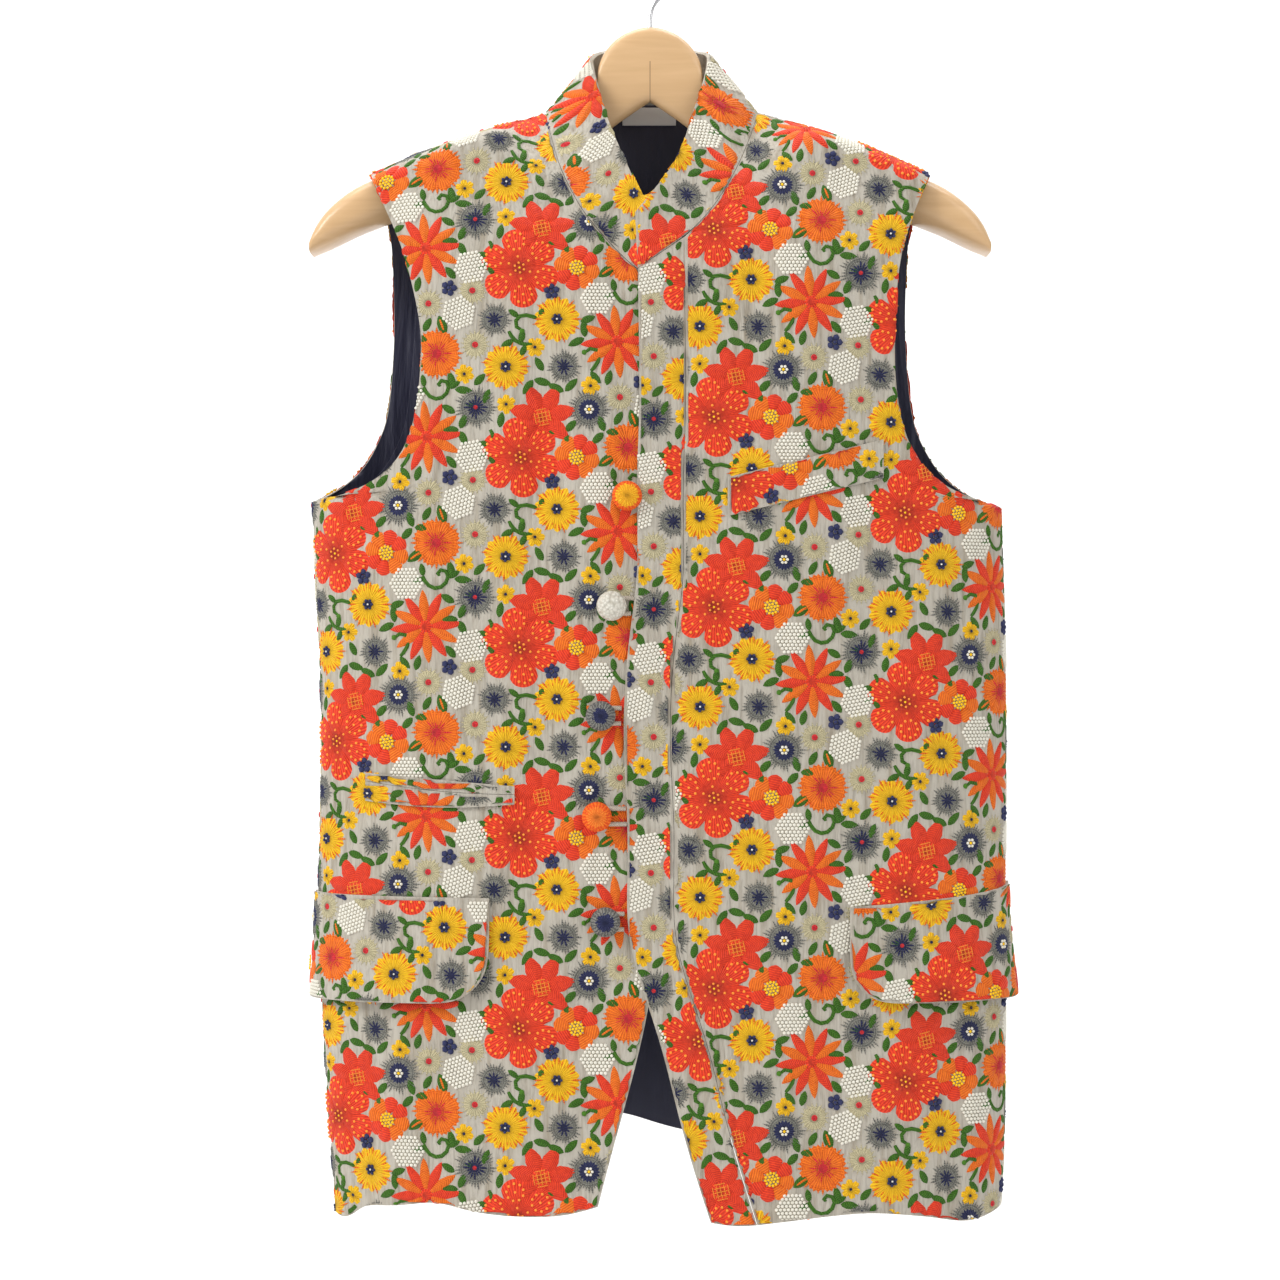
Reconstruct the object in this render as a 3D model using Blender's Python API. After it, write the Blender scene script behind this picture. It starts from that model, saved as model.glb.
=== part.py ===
"""A long sleeveless waistcoat with a stand collar, hung on a wooden hanger.

Metres, +Z up, the fronts face -Y, and +X is on the right seen from the front.
The origin is the point where the hook hangs on its rail. Left and right in the
names are the wearer's, so the right front lies at -X.
"""

import math

import bmesh
import bpy
from mathutils import Vector

OBJECT_NAME = "long_waistcoat_on_hanger"

FRONT = -1
BACK = 1
RIGHT = -1
LEFT = 1

CLOTH = 0.0020
COLLAR_CLOTH = 0.0025
# The inner edge of the collar stands this much clear of the neck seam, as it leans in.
COLLAR_BEVEL = 0.0020
COLLAR_OUTER_CLEAR = 0.0001
STATION_STEP = 0.02
LINING_CLOTH = 0.0010
SEAM_GAP = 0.0003
LAY_GAP = 0.0004
# Welt, jets and flaps lie this far above the cloth, whose folds run on under them.
TRIM_GAP = 0.0008

# Squareness of the body's level sections: 1 is an ellipse, less is boxier.
SQUARENESS = 0.8
# The cloth's round over the hanger, and the wider round where it closes in to the neck.
ROOF_RADIUS = 0.012
NECK_ROOF_RADIUS = 0.045
NECK_ROOF_RUN = 0.045
ROOF_STEPS = 4
SHOULDER_BULGE = 0.003
SHOULDER_BULGE_RUN = 0.08
NECK_BLEND = 0.040
# Inside the neck the shoulder line is carried on this steeply, above the neck seam.
NECK_RISE = 2.0
SLOPE_STEP = 0.0002
# An edge is measured in this many steps, and a place on a line is found by this many halvings.
EDGE_STEPS = 240
HALVINGS = 40

BAND_WIDTH = 0.030
LAP_DEPTH = 0.0030
LAP_START = 0.040
LAP_RUN = 0.034
CHEST_Z = -0.285
WAIST_Z = -0.385
HEM_BLEND = 0.15

# Level sections: height, side seams at -X and +X, depth of the front and of the back.
SECTIONS = sorted((
    # z, right_side, left_side, front_depth, back_depth
    (-0.100, -0.250, 0.250, 0.0310, 0.0345),
    (-0.160, -0.250, 0.250, 0.0345, 0.0345),
    (-0.205, -0.245, 0.247, 0.0460, 0.0355),
    (-0.230, -0.234, 0.237, 0.0490, 0.0375),
    (-0.300, -0.206, 0.214, 0.0530, 0.0420),
    (-0.350, -0.216, 0.224, 0.0545, 0.0450),
    (-0.378, -0.224, 0.233, 0.0550, 0.0460),
    (-0.420, -0.223, 0.2345, 0.0555, 0.0470),
    (-0.510, -0.218, 0.2365, 0.0560, 0.0480),
    (-0.635, -0.220, 0.236, 0.0560, 0.0485),
    (-0.775, -0.214, 0.236, 0.0575, 0.0495),
    (-0.850, -0.208, 0.2325, 0.0580, 0.0500),
))

SHOULDERS = {
    # side: neck_x, neck_z, tip_x, tip_z, underarm_z
    RIGHT: (-0.070, -0.118, -0.185, -0.159, -0.376),
    LEFT: (0.072, -0.117, 0.185, -0.159, -0.380),
}

# Front armholes: height, distance from the middle.
FRONT_ARMHOLE = {
    RIGHT: sorted((
        # z, x
        (-0.159, -0.185), (-0.186, -0.1735), (-0.212, -0.162), (-0.246, -0.153),
        (-0.270, -0.149), (-0.300, -0.150), (-0.327, -0.154), (-0.345, -0.160),
        (-0.355, -0.167), (-0.365, -0.180), (-0.373, -0.202), (-0.376, -0.224),
    )),
    LEFT: sorted((
        # z, x
        (-0.159, 0.185), (-0.186, 0.1735), (-0.204, 0.167), (-0.222, 0.162),
        (-0.250, 0.160), (-0.290, 0.159), (-0.317, 0.162), (-0.335, 0.166),
        (-0.350, 0.173), (-0.362, 0.184), (-0.373, 0.203), (-0.380, 0.233),
    )),
}

# The back armholes are cut less deep, so their edges show past the fronts.
BACK_ARMHOLE = {
    RIGHT: sorted((
        # z, x
        (-0.159, -0.185), (-0.186, -0.177), (-0.204, -0.173), (-0.254, -0.172),
        (-0.288, -0.174), (-0.322, -0.178), (-0.338, -0.185), (-0.354, -0.194),
        (-0.366, -0.208), (-0.376, -0.224),
    )),
    LEFT: sorted((
        # z, x
        (-0.159, 0.185), (-0.186, 0.177), (-0.204, 0.173), (-0.254, 0.172),
        (-0.288, 0.174), (-0.322, 0.178), (-0.338, 0.185), (-0.356, 0.195),
        (-0.369, 0.211), (-0.380, 0.233),
    )),
}

# Edge of the lapping band, from the neck to the cut-away hem.
BAND_EDGE = sorted((
    # z, x
    (-0.227, -0.008), (-0.313, -0.007), (-0.377, -0.009), (-0.416, -0.007),
    (-0.468, -0.014), (-0.526, -0.018), (-0.598, -0.014), (-0.656, -0.016),
    (-0.688, -0.007), (-0.728, 0.007), (-0.784, 0.020), (-0.844, 0.039),
))

# Edge of the right front, under the band down to the last button.
UNDER_EDGE = sorted((
    # z, x
    (-0.2305, -0.003), (-0.237, 0.002), (-0.246, 0.003), (-0.680, 0.003),
    (-0.701, 0.000), (-0.734, -0.007), (-0.761, -0.014), (-0.787, -0.023),
    (-0.814, -0.027), (-0.834, -0.034),
))

HEMS = {
    # x, z
    "front_right": sorted((
        (-0.210, -0.847), (-0.202, -0.848), (-0.185, -0.838), (-0.161, -0.836),
        (-0.140, -0.833), (-0.111, -0.839), (-0.077, -0.841), (-0.053, -0.840),
        (-0.034, -0.834),
    )),
    "front_left": sorted((
        (0.039, -0.844), (0.048, -0.847), (0.077, -0.845), (0.105, -0.842),
        (0.140, -0.839), (0.180, -0.843), (0.208, -0.848), (0.233, -0.842),
    )),
    "back": sorted((
        (-0.208, -0.845), (-0.150, -0.822), (-0.090, -0.800), (-0.040, -0.789),
        (-0.017, -0.790), (0.011, -0.800), (0.050, -0.806), (0.120, -0.822),
        (0.233, -0.842),
    )),
}

# Stand collar, from its under end round the neck to its lapping end.
COLLAR_STATIONS = (
    # station, seam_x, seam_y, seam_z, free_x, free_y, free_z
    (0, -0.0030, -0.0455, -0.2305, -0.0025, -0.0420, -0.187),
    (1, -0.0110, -0.0455, -0.2260, -0.0050, -0.0415, -0.180),
    (2, -0.0250, -0.0450, -0.2120, -0.0100, -0.0385, -0.169),
    (3, -0.0370, -0.0430, -0.1980, -0.0160, -0.0345, -0.155),
    (4, -0.0460, -0.0400, -0.1860, -0.0215, -0.0300, -0.142),
    (5, -0.0540, -0.0350, -0.1700, -0.0260, -0.0250, -0.131),
    (6, -0.0600, -0.0290, -0.1570, -0.0300, -0.0200, -0.118),
    (7, -0.0650, -0.0180, -0.1370, -0.0355, -0.0120, -0.099),
    (8, -0.0700, 0.0000, -0.1180, -0.0395, 0.0000, -0.080),
    (9, -0.0610, 0.0200, -0.1130, -0.0330, 0.0160, -0.073),
    (10, -0.0350, 0.0335, -0.1070, -0.0200, 0.0260, -0.069),
    (11, 0.0010, 0.0380, -0.1050, 0.0000, 0.0300, -0.068),
    (12, 0.0360, 0.0335, -0.1070, 0.0200, 0.0260, -0.069),
    (13, 0.0620, 0.0200, -0.1125, 0.0330, 0.0160, -0.073),
    (14, 0.0720, 0.0000, -0.1170, 0.0395, 0.0000, -0.078),
    (15, 0.0640, -0.0190, -0.1420, 0.0360, -0.0120, -0.098),
    (16, 0.0570, -0.0290, -0.1590, 0.0310, -0.0180, -0.112),
    (17, 0.0450, -0.0380, -0.1810, 0.0265, -0.0240, -0.126),
    (18, 0.0330, -0.0430, -0.1960, 0.0230, -0.0290, -0.139),
    (19, 0.0220, -0.0465, -0.2065, 0.0180, -0.0345, -0.153),
    (20, 0.0070, -0.0477, -0.21675, 0.0080, -0.0405, -0.168),
    (21, -0.0080, -0.0489, -0.2270, -0.0095, -0.0465, -0.190),
)
# The back's columns over the right shoulder, under the neck seam and over the left shoulder.
BACK_COLUMNS = (6, 12, 6)
# The lining leaves out this many of the back's columns at each side, and rows at the top.
LINING_INSET = (1, 1)
# The neck seam lowers or lifts the back's rows down to this far below the shoulders.
BACK_TOP_RUN = 0.14

RIGHT_NECK_STATION = 8
LEFT_NECK_STATION = 14
BAND_NECK_STATION = 19

# A fold deepens over the first 1 / FOLD_START of its length, and fades out over the last
# 1 / FOLD_FADE, down to FOLD_REST of its depth.
FOLD_START = 4.0
FOLD_FADE = 2.5
FOLD_REST = 0.35
# Where the cloth stands this near to the side seam's plane, its folds die away.
FOLD_SEAM_DEPTH = 0.03
FOLDS = (
    # face, top_x, top_z, bottom_x, bottom_z, half_width, depth
    (FRONT, -0.066, -0.240, -0.070, -0.660, 0.013, 0.0065),
    (FRONT, -0.042, -0.675, -0.052, -0.845, 0.015, 0.0045),
    (FRONT, -0.110, -0.300, -0.118, -0.520, 0.020, 0.0025),
    (FRONT, -0.186, -0.700, -0.190, -0.860, 0.010, 0.0040),
    (FRONT, -0.140, -0.660, -0.140, -0.860, 0.022, 0.0025),
    (FRONT, 0.022, -0.215, 0.016, -0.470, 0.009, 0.0025),
    (FRONT, 0.062, -0.140, 0.064, -0.360, 0.014, 0.0035),
    (FRONT, 0.145, -0.360, 0.150, -0.540, 0.016, 0.0030),
    (FRONT, 0.112, -0.640, 0.104, -0.860, 0.018, 0.0030),
    (FRONT, 0.190, -0.680, 0.200, -0.860, 0.016, 0.0030),
    (BACK, -0.120, -0.180, -0.140, -0.860, 0.026, 0.0050),
    (BACK, -0.045, -0.250, -0.050, -0.830, 0.022, 0.0045),
    (BACK, 0.040, -0.200, 0.055, -0.840, 0.024, 0.0050),
    (BACK, 0.128, -0.180, 0.150, -0.860, 0.026, 0.0050),
)

FLAPS = {
    # side: inner_x, top_z at the inner end, top_z at the side seam, bottom_z, corner radius
    RIGHT: (-0.104, -0.635, -0.634, -0.703, 0.030),
    LEFT: (0.129, -0.641, -0.628, -0.703, 0.026),
}
FLAP_CLOTH = 0.0016
# The free lower edge stands off by the lift, which grows downwards with this power.
FLAP_LIFT = 0.0060
FLAP_LIFT_CURVE = 1.5
FLAP_END_ANGLE = math.radians(89.5)
FLAP_STRAIGHT_ROWS = 2
FLAP_ROUND_ROWS = 4

# Chest welt: a strip with slanting ends.
WELT_INNER = (0.050, -0.363)
WELT_OUTER = (0.151, -0.338)
WELT_HEIGHT = 0.025
TRIM_CLOTH = 0.0014

# Ticket pocket: the seams and the opening bow down in the middle.
TICKET_X = (-0.185, -0.088)
TICKET_LINES = {
    # line: z at the outer end, z at the inner end, bow
    "top": (-0.5545, -0.5625, 0.000),
    "opening": (-0.5600, -0.5680, 0.002),
    "bottom": (-0.5730, -0.5745, 0.003),
}

LABEL_X = (-0.019, 0.018)
LABEL_Z = (-0.1075, -0.1200)

BUTTONS = (
    # x, z, colour
    (-0.0150, -0.375, (0.90, 0.38, 0.05)),
    (-0.0250, -0.446, (0.86, 0.82, 0.70)),
    (-0.0320, -0.517, (0.16, 0.17, 0.22)),
    (-0.0345, -0.582, (0.86, 0.10, 0.04)),
    (-0.0290, -0.650, (0.20, 0.21, 0.26)),
)
BUTTON_RADIUS = 0.010
BUTTON_BASE = 0.0045
BUTTON_HEIGHT = 0.0075
BUTTON_ROUND = 0.0015
DOME_STEPS = 5
BUTTON_STEPS = 14
SHANK_RADIUS = 0.0025
LOOP_CORD = 0.0030
LOOP_SPREAD = 0.010
LOOP_GAP = 0.0009
LOOP_STEPS = 8

HEAD_TOP_Z = -0.060
HEAD_HALF_WIDTH = 0.036
# Hanger: distance from the middle, underside, half thickness.
HANGER_SECTIONS = sorted((
    # distance, bottom_z, half_thickness
    (0.000, -0.110, 0.0065),
    (0.012, -0.118, 0.0063),
    (0.026, -0.128, 0.0060),
    (0.040, -0.140, 0.0060),
    (0.070, -0.154, 0.0070),
    (0.120, -0.171, 0.0150),
    (0.165, -0.188, 0.0190),
    (0.195, -0.199, 0.0215),
    (0.215, -0.209, 0.0215),
    (0.225, -0.212, 0.0180),
))
HANGER_TIP = sorted((
    # distance, top_z past the shoulder tip
    (0.185, -0.1620), (0.198, -0.1695), (0.210, -0.1790), (0.219, -0.1890), (0.225, -0.2030),
))
HANGER_CLEARANCE = 0.0022
# Corners of a section: their height, how much wider than high they are, and the most of
# the section's half height and half thickness that they take.
HANGER_CORNER = 0.010
HANGER_CORNER_STRETCH = 1.6
HANGER_CORNER_HEIGHT = 0.45
HANGER_CORNER_WIDTH = 0.95
HANGER_CORNER_STEPS = 3
HANGER_STATIONS = (
    # distances from the middle: the arched head, then an arm
    0.0, 0.008, 0.016, 0.023, 0.029, 0.033, 0.0355,
    0.038, 0.050, 0.070, 0.095, 0.120, 0.145, 0.165, 0.182, 0.195, 0.206, 0.215, 0.221, 0.225,
)
# The arms lie lower where the cloth closes in to the neck.
HANGER_RISE = 0.12
HANGER_NECK_DROP = 0.009
HANGER_NECK_RUN = 0.035

HOOK_WIRE = 0.0015
HOOK_RADIUS = 0.0195
HOOK_CENTRE_Z = -0.018
HOOK_END = math.radians(205)
HOOK_STEPS = 20
HOLE_RADIUS = 0.0018
HOLE_DEPTH = 0.012
HOOK_NECK = (
    # x, z
    (0.0, -0.0717), (0.0, -0.060), (0.0, -0.050), (0.0030, -0.0435),
    (0.0105, -0.0370), (0.0165, -0.0290),
)

COLOURS = {
    "cloth": (0.60, 0.53, 0.46),
    "lining": (0.02, 0.02, 0.06),
    "label": (0.85, 0.85, 0.84),
    "loop": (0.66, 0.58, 0.47),
    "wood": (0.72, 0.48, 0.26),
    "steel": (0.70, 0.70, 0.71),
}


def smooth(part):
    """0 to 1 with a soft start and end."""
    part = min(max(part, 0.0), 1.0)
    return part * part * (3.0 - 2.0 * part)


def blend(start, end, part):
    return start + (end - start) * part


def slope_at(rows, index, column):
    """Slope of a table's column at one row, zero where the column turns round."""
    last = len(rows) - 1
    before = max(index - 1, 0)
    after = min(index + 1, last)
    if before == index:
        before = after - 1
    slopes = []
    for low in {before, min(index, last - 1)}:
        rise = rows[low + 1][column] - rows[low][column]
        slopes.append(rise / (rows[low + 1][0] - rows[low][0]))
    if len(slopes) == 1:
        return slopes[0]
    if slopes[0] * slopes[1] <= 0.0:
        return 0.0
    return 2.0 * slopes[0] * slopes[1] / (slopes[0] + slopes[1])


def along(rows, key):
    """A sorted table's other columns at a value of its first column, without overshoot."""
    key = min(max(key, rows[0][0]), rows[-1][0])
    start = 0
    while start < len(rows) - 2 and rows[start + 1][0] < key:
        start += 1
    low = rows[start]
    high = rows[start + 1]
    span = high[0] - low[0]
    part = (key - low[0]) / span
    values = []
    for column in range(1, len(low)):
        leave = slope_at(rows, start, column) * span
        arrive = slope_at(rows, start + 1, column) * span
        turn_in = part * (1.0 - part) ** 2 * leave
        turn_out = part * part * (1.0 - part) * arrive
        values.append(blend(low[column], high[column], smooth(part)) + turn_in - turn_out)
    return values


def roof_drops():
    """Drops that follow the round of the cloth over the hanger."""
    turns = [math.pi / 2.0 * step / ROOF_STEPS for step in range(ROOF_STEPS + 1)]
    return [ROOF_RADIUS * (1.0 - math.cos(turn)) for turn in turns]


def line_between(points, axis, value):
    """The point of a finely stepped line whose coordinate along axis is value."""
    ordered = sorted(points, key=lambda point: point[axis])
    value = min(max(value, ordered[0][axis]), ordered[-1][axis])
    for low, high in zip(ordered, ordered[1:]):
        if high[axis] >= value:
            span = high[axis] - low[axis]
            return low.lerp(high, (value - low[axis]) / span if span else 0.0)
    return ordered[-1]


def side_of(x):
    return RIGHT if x < 0.0 else LEFT


def collar_station(station):
    """Seam point and free-edge point of the collar at a station, whole or between."""
    values = along(COLLAR_STATIONS, station)
    return Vector(values[:3]), Vector(values[3:])


def neck_line(first, last):
    steps = 8 * (last - first)
    return [collar_station(blend(first, last, step / steps))[0] for step in range(steps + 1)]


NECK_LINES = {
    "right": neck_line(0, RIGHT_NECK_STATION),
    "back": neck_line(RIGHT_NECK_STATION, LEFT_NECK_STATION),
    "left": neck_line(LEFT_NECK_STATION, COLLAR_STATIONS[-1][0]),
}


def front_neck(side, z):
    """Neck seam point of a front at a height."""
    return line_between(NECK_LINES["right" if side == RIGHT else "left"], 2, z)


def back_neck(x):
    """Neck seam point of the back at a distance from the middle."""
    return line_between(NECK_LINES["back"], 0, x)


def neck_columns(side):
    """Stations of the collar's columns on one front, from the shoulder down."""
    shoulder = RIGHT_NECK_STATION if side == RIGHT else LEFT_NECK_STATION
    end = 0 if side == RIGHT else BAND_NECK_STATION
    step = -1 if side == RIGHT else 1
    columns = []
    for drop in roof_drops():
        goal = SHOULDERS[side][1] - drop
        low, high = shoulder, shoulder + step
        for _ in range(HALVINGS):
            middle = 0.5 * (low + high)
            if collar_station(middle)[0].z > goal:
                low = middle
            else:
                high = middle
        columns.append(middle)
    columns[0] = shoulder
    return columns + list(range(shoulder + step, end + step, step))


def straight_shoulder(x):
    neck_x, neck_z, tip_x, tip_z, _ = SHOULDERS[side_of(x)]
    if abs(x) < abs(neck_x):
        return neck_z + NECK_RISE * (abs(neck_x) - abs(x))
    return blend(neck_z, tip_z, (x - neck_x) / (tip_x - neck_x))


def shoulder_bulge(x):
    neck_x, _, tip_x, _, _ = SHOULDERS[side_of(x)]
    part = min(max((x - neck_x) / (tip_x - neck_x), 0.0), 1.0)
    return SHOULDER_BULGE * math.sin(math.pi * part)


def ridge(x):
    """Height of the shoulder seam, carried on past its ends."""
    return straight_shoulder(x) + shoulder_bulge(x)


def roof(x, z):
    """How far the cloth has reached its full depth, below the shoulder seam."""
    away = (abs(x) - abs(SHOULDERS[side_of(x)][0])) / NECK_ROOF_RUN
    radius = blend(NECK_ROOF_RADIUS, ROOF_RADIUS, smooth(away))
    drop = max(ridge(x) - z, 0.0)
    if drop >= radius:
        return 1.0
    return math.sqrt(1.0 - (1.0 - drop / radius) ** 2)


def half_section(z):
    right_side, left_side, front, back = along(SECTIONS, z)
    centre = 0.5 * (right_side + left_side)
    return centre, 0.5 * (left_side - right_side), front, back


def across(angle, z):
    """x of the section at an angle from the middle: 0 is the middle, 90 degrees the side seam."""
    centre, half, _, _ = half_section(z)
    turn = math.sin(angle)
    return centre + math.copysign(half * abs(turn) ** SQUARENESS, turn)


def angle_of(x, z):
    centre, half, _, _ = half_section(z)
    part = min(abs(x - centre) / half, 1.0)
    return math.copysign(math.asin(part ** (1.0 / SQUARENESS)), x - centre)


def fold_depth(face, x, z):
    """How far the troughs of the folds take the cloth in at a place."""
    total = 0.0
    for fold_face, top_x, top_z, bottom_x, bottom_z, half_width, depth in FOLDS:
        part = (top_z - z) / (top_z - bottom_z)
        if fold_face != face or part <= 0.0 or part >= 1.0:
            continue
        offset = (x - blend(top_x, bottom_x, part)) / half_width
        start = smooth(FOLD_START * part)
        fade = smooth(FOLD_FADE * (1.0 - part) + FOLD_REST)
        total += depth * start * fade * math.exp(-offset ** 2)
    return total


def lap_depth(x, z):
    """How far the right front lies in under the lapping band."""
    edge = along(BAND_EDGE, z)[0]
    return LAP_DEPTH * smooth((x - edge + LAP_START) / LAP_RUN)


def neck_pull(face, x, z, lapped, surface_y):
    """How far the cloth is drawn from its plain section towards the neck seam."""
    if face == BACK:
        if not SHOULDERS[RIGHT][0] < x < SHOULDERS[LEFT][0]:
            return 0.0
        seam = back_neck(x)
        away = seam.z - z
    else:
        side = RIGHT if lapped else LEFT
        if z > SHOULDERS[side][1]:
            return 0.0
        seam = front_neck(side, z)
        away = math.hypot(x - seam.x, seam.z - z)
    return (seam.y - surface_y(seam.x, seam.z)) * (1.0 - smooth(away / NECK_BLEND))


def plain_point(face, angle, z, lapped):
    """A point of the cloth's outer face. Past a side seam or over the ridge it comes down behind."""
    side = face if math.cos(angle) >= 0.0 else -face
    x = across(angle, z)
    drop = ridge(x) - z
    if drop < 0.0:
        side = -side
        z = ridge(x) + drop

    def surface_y(at_x, at_z):
        centre, half, front, back = half_section(at_z)
        depth = front if side == FRONT else back
        part = min(abs(at_x - centre) / half, 1.0)
        full = depth * (1.0 - part ** (2.0 / SQUARENESS)) ** (SQUARENESS / 2.0)
        inward = fold_depth(side, at_x, at_z) * smooth(full / FOLD_SEAM_DEPTH)
        if lapped and side == FRONT:
            inward += lap_depth(at_x, at_z)
        return side * (full - inward) * roof(at_x, at_z)

    y = surface_y(x, z)
    return Vector((x, y + neck_pull(side, x, z, lapped, surface_y), z))


def skin(face, angle, z, lift=0.0, lapped=False):
    """A point above (lift > 0) or below (lift < 0) the cloth's outer face, along its normal."""
    point = plain_point(face, angle, z, lapped)
    if lift == 0.0:
        return point
    right = plain_point(face, angle + SLOPE_STEP, z, lapped)
    left = plain_point(face, angle - SLOPE_STEP, z, lapped)
    above = plain_point(face, angle, z + SLOPE_STEP, lapped)
    below = plain_point(face, angle, z - SLOPE_STEP, lapped)
    normal = (right - left).cross(above - below).normalized() * -face
    return point + normal * lift


def lay_on(face, x, z, lift, lapped=False):
    return skin(face, angle_of(x, z), z, lift, lapped)


def levels(edge, top, bottom, count):
    """Heights that part an edge, x at each height, into count equal lengths."""
    heights = [blend(top, bottom, step / EDGE_STEPS) for step in range(EDGE_STEPS + 1)]
    lengths = [0.0]
    for upper, lower in zip(heights, heights[1:]):
        lengths.append(lengths[-1] + math.hypot(edge(upper) - edge(lower), upper - lower))
    result = []
    for index in range(count + 1):
        goal = lengths[-1] * index / count
        step = next(i for i, length in enumerate(lengths) if length >= goal - 1e-12)
        result.append(heights[step])
    return result


def neck_rungs(side, outer, chest_z):
    """Rows of a front from the shoulder to the foot of its neck seam, one at each collar column."""
    inner_levels = [collar_station(station)[0].z for station in neck_columns(side)]
    outer_levels = [SHOULDERS[side][3] - drop for drop in roof_drops()]
    count = len(inner_levels) - len(outer_levels)
    outer_levels += levels(outer, outer_levels[-1], chest_z, count)[1:]
    return list(zip(inner_levels, outer_levels))


def roof_rungs():
    return [tuple(SHOULDERS[side][3] - drop for side in (RIGHT, LEFT)) for drop in roof_drops()]


def rungs_between(inner, outer, inner_marks, outer_marks, counts, rungs=()):
    """Pairs of heights, one for each cross row of a panel, on its two long edges."""
    rungs = list(rungs)
    for index, count in enumerate(counts):
        inner_levels = levels(inner, inner_marks[index], inner_marks[index + 1], count)
        outer_levels = levels(outer, outer_marks[index], outer_marks[index + 1], count)
        rungs += list(zip(inner_levels, outer_levels))[1 if rungs else 0:]
    return rungs


def hem_shift(hem, x, z, straight):
    """How much higher or lower than a straight hem the cloth hangs, fading upwards."""
    return (along(hem, x)[0] - straight) * smooth(1.0 - (z - straight) / HEM_BLEND)


def outer_edge(armhole, side):
    """Armhole and side seam of a panel as one edge: x at each height."""
    def edge(z):
        if z > SHOULDERS[side][4]:
            return along(armhole[side], z)[0]
        return across(side * math.pi / 2.0, z)
    return edge


def front_place(inner, outer, rungs, hem, lapped=False, shouldered=True):
    """Where each point of a front lies: s runs out from the middle, t down from the top."""
    def place(s, t, lift):
        z_in, z_out = rungs[round(t * (len(rungs) - 1))]
        hem_in, hem_out = rungs[-1]
        x_in = inner(z_in)
        x_out = outer(z_out)
        angle = blend(angle_of(x_in, z_in), angle_of(x_out, z_out), s)
        part = s
        for _ in range(4):
            z = blend(z_in, z_out, part)
            part = (across(angle, z) - x_in) / (x_out - x_in)
        x = across(angle, z)
        if shouldered:
            z += shoulder_bulge(x) * smooth(1.0 - (straight_shoulder(x) - z) / SHOULDER_BULGE_RUN)
        z += hem_shift(hem, x, z, blend(hem_in, hem_out, part))
        point = skin(FRONT, angle, z, lift, lapped)
        point.y = min(point.y, -0.5 * SEAM_GAP)
        return point
    return place


def back_top(x):
    """Top edge of the back: shoulder seam, neck seam, shoulder seam."""
    if SHOULDERS[RIGHT][0] < x < SHOULDERS[LEFT][0]:
        return back_neck(x).z
    return ridge(x)


def back_point(s, z_right, z_left, edges, drop, lift):
    """A point of the back: s runs from the right side to the left side."""
    marks = (0.0, BACK_COLUMNS[0], BACK_COLUMNS[0] + BACK_COLUMNS[1], sum(BACK_COLUMNS))
    column = s * sum(BACK_COLUMNS)
    x_right = edges[RIGHT](z_right)
    x_left = edges[LEFT](z_left)
    stops = (x_right, SHOULDERS[RIGHT][0], SHOULDERS[LEFT][0], x_left)
    zone = 0 if column < marks[1] else 1 if column < marks[2] else 2
    part = (column - marks[zone]) / (marks[zone + 1] - marks[zone])
    level = blend(z_right, z_left, s)
    angle = blend(angle_of(stops[zone], level), angle_of(stops[zone + 1], level), part)
    if zone == 1:
        station = blend(RIGHT_NECK_STATION, LEFT_NECK_STATION, part)
        angle = angle_of(collar_station(station)[0].x, level)
    if s == 0.0:
        angle = angle_of(x_right, z_right)
    if s == 1.0:
        angle = angle_of(x_left, z_left)
    x = across(angle, level)
    share = (x - x_right) / (x_left - x_right)
    level = blend(z_right, z_left, share)
    tip_level = blend(SHOULDERS[RIGHT][3], SHOULDERS[LEFT][3], share)
    z = level + (back_top(x) - tip_level) * smooth(1.0 - drop / BACK_TOP_RUN)
    z += hem_shift(HEMS["back"], x, z, blend(HEMS["back"][0][1], HEMS["back"][-1][1], share))
    angle = angle_of(x, z) if 0.0 < s < 1.0 else angle
    return skin(BACK, angle, z, lift)


def back_place(rungs, edges):
    def place(s, t, lift):
        z_right, z_left = rungs[round(t * (len(rungs) - 1))]
        drop = blend(SHOULDERS[RIGHT][3] - z_right, SHOULDERS[LEFT][3] - z_left, s)
        point = back_point(s, z_right, z_left, edges, drop, lift)
        point.y = max(point.y, 0.5 * SEAM_GAP)
        return point
    return place


def make_material(name, colour, roughness=0.85, metallic=0.0):
    material = bpy.data.materials.new(name)
    material.use_nodes = True
    shader = material.node_tree.nodes["Principled BSDF"]
    shader.inputs["Base Color"].default_value = (*colour, 1.0)
    shader.inputs["Roughness"].default_value = roughness
    shader.inputs["Metallic"].default_value = metallic
    return material


def add_object(name, data, material, collection):
    thing = bpy.data.objects.new(name, data)
    thing.data.materials.append(material)
    collection.objects.link(thing)
    return thing


def mesh_from(bm, name):
    mesh = bpy.data.meshes.new(name)
    bm.to_mesh(mesh)
    bm.free()
    mesh.shade_smooth()
    mesh.set_sharp_from_angle(angle=math.radians(40))
    return mesh


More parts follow.
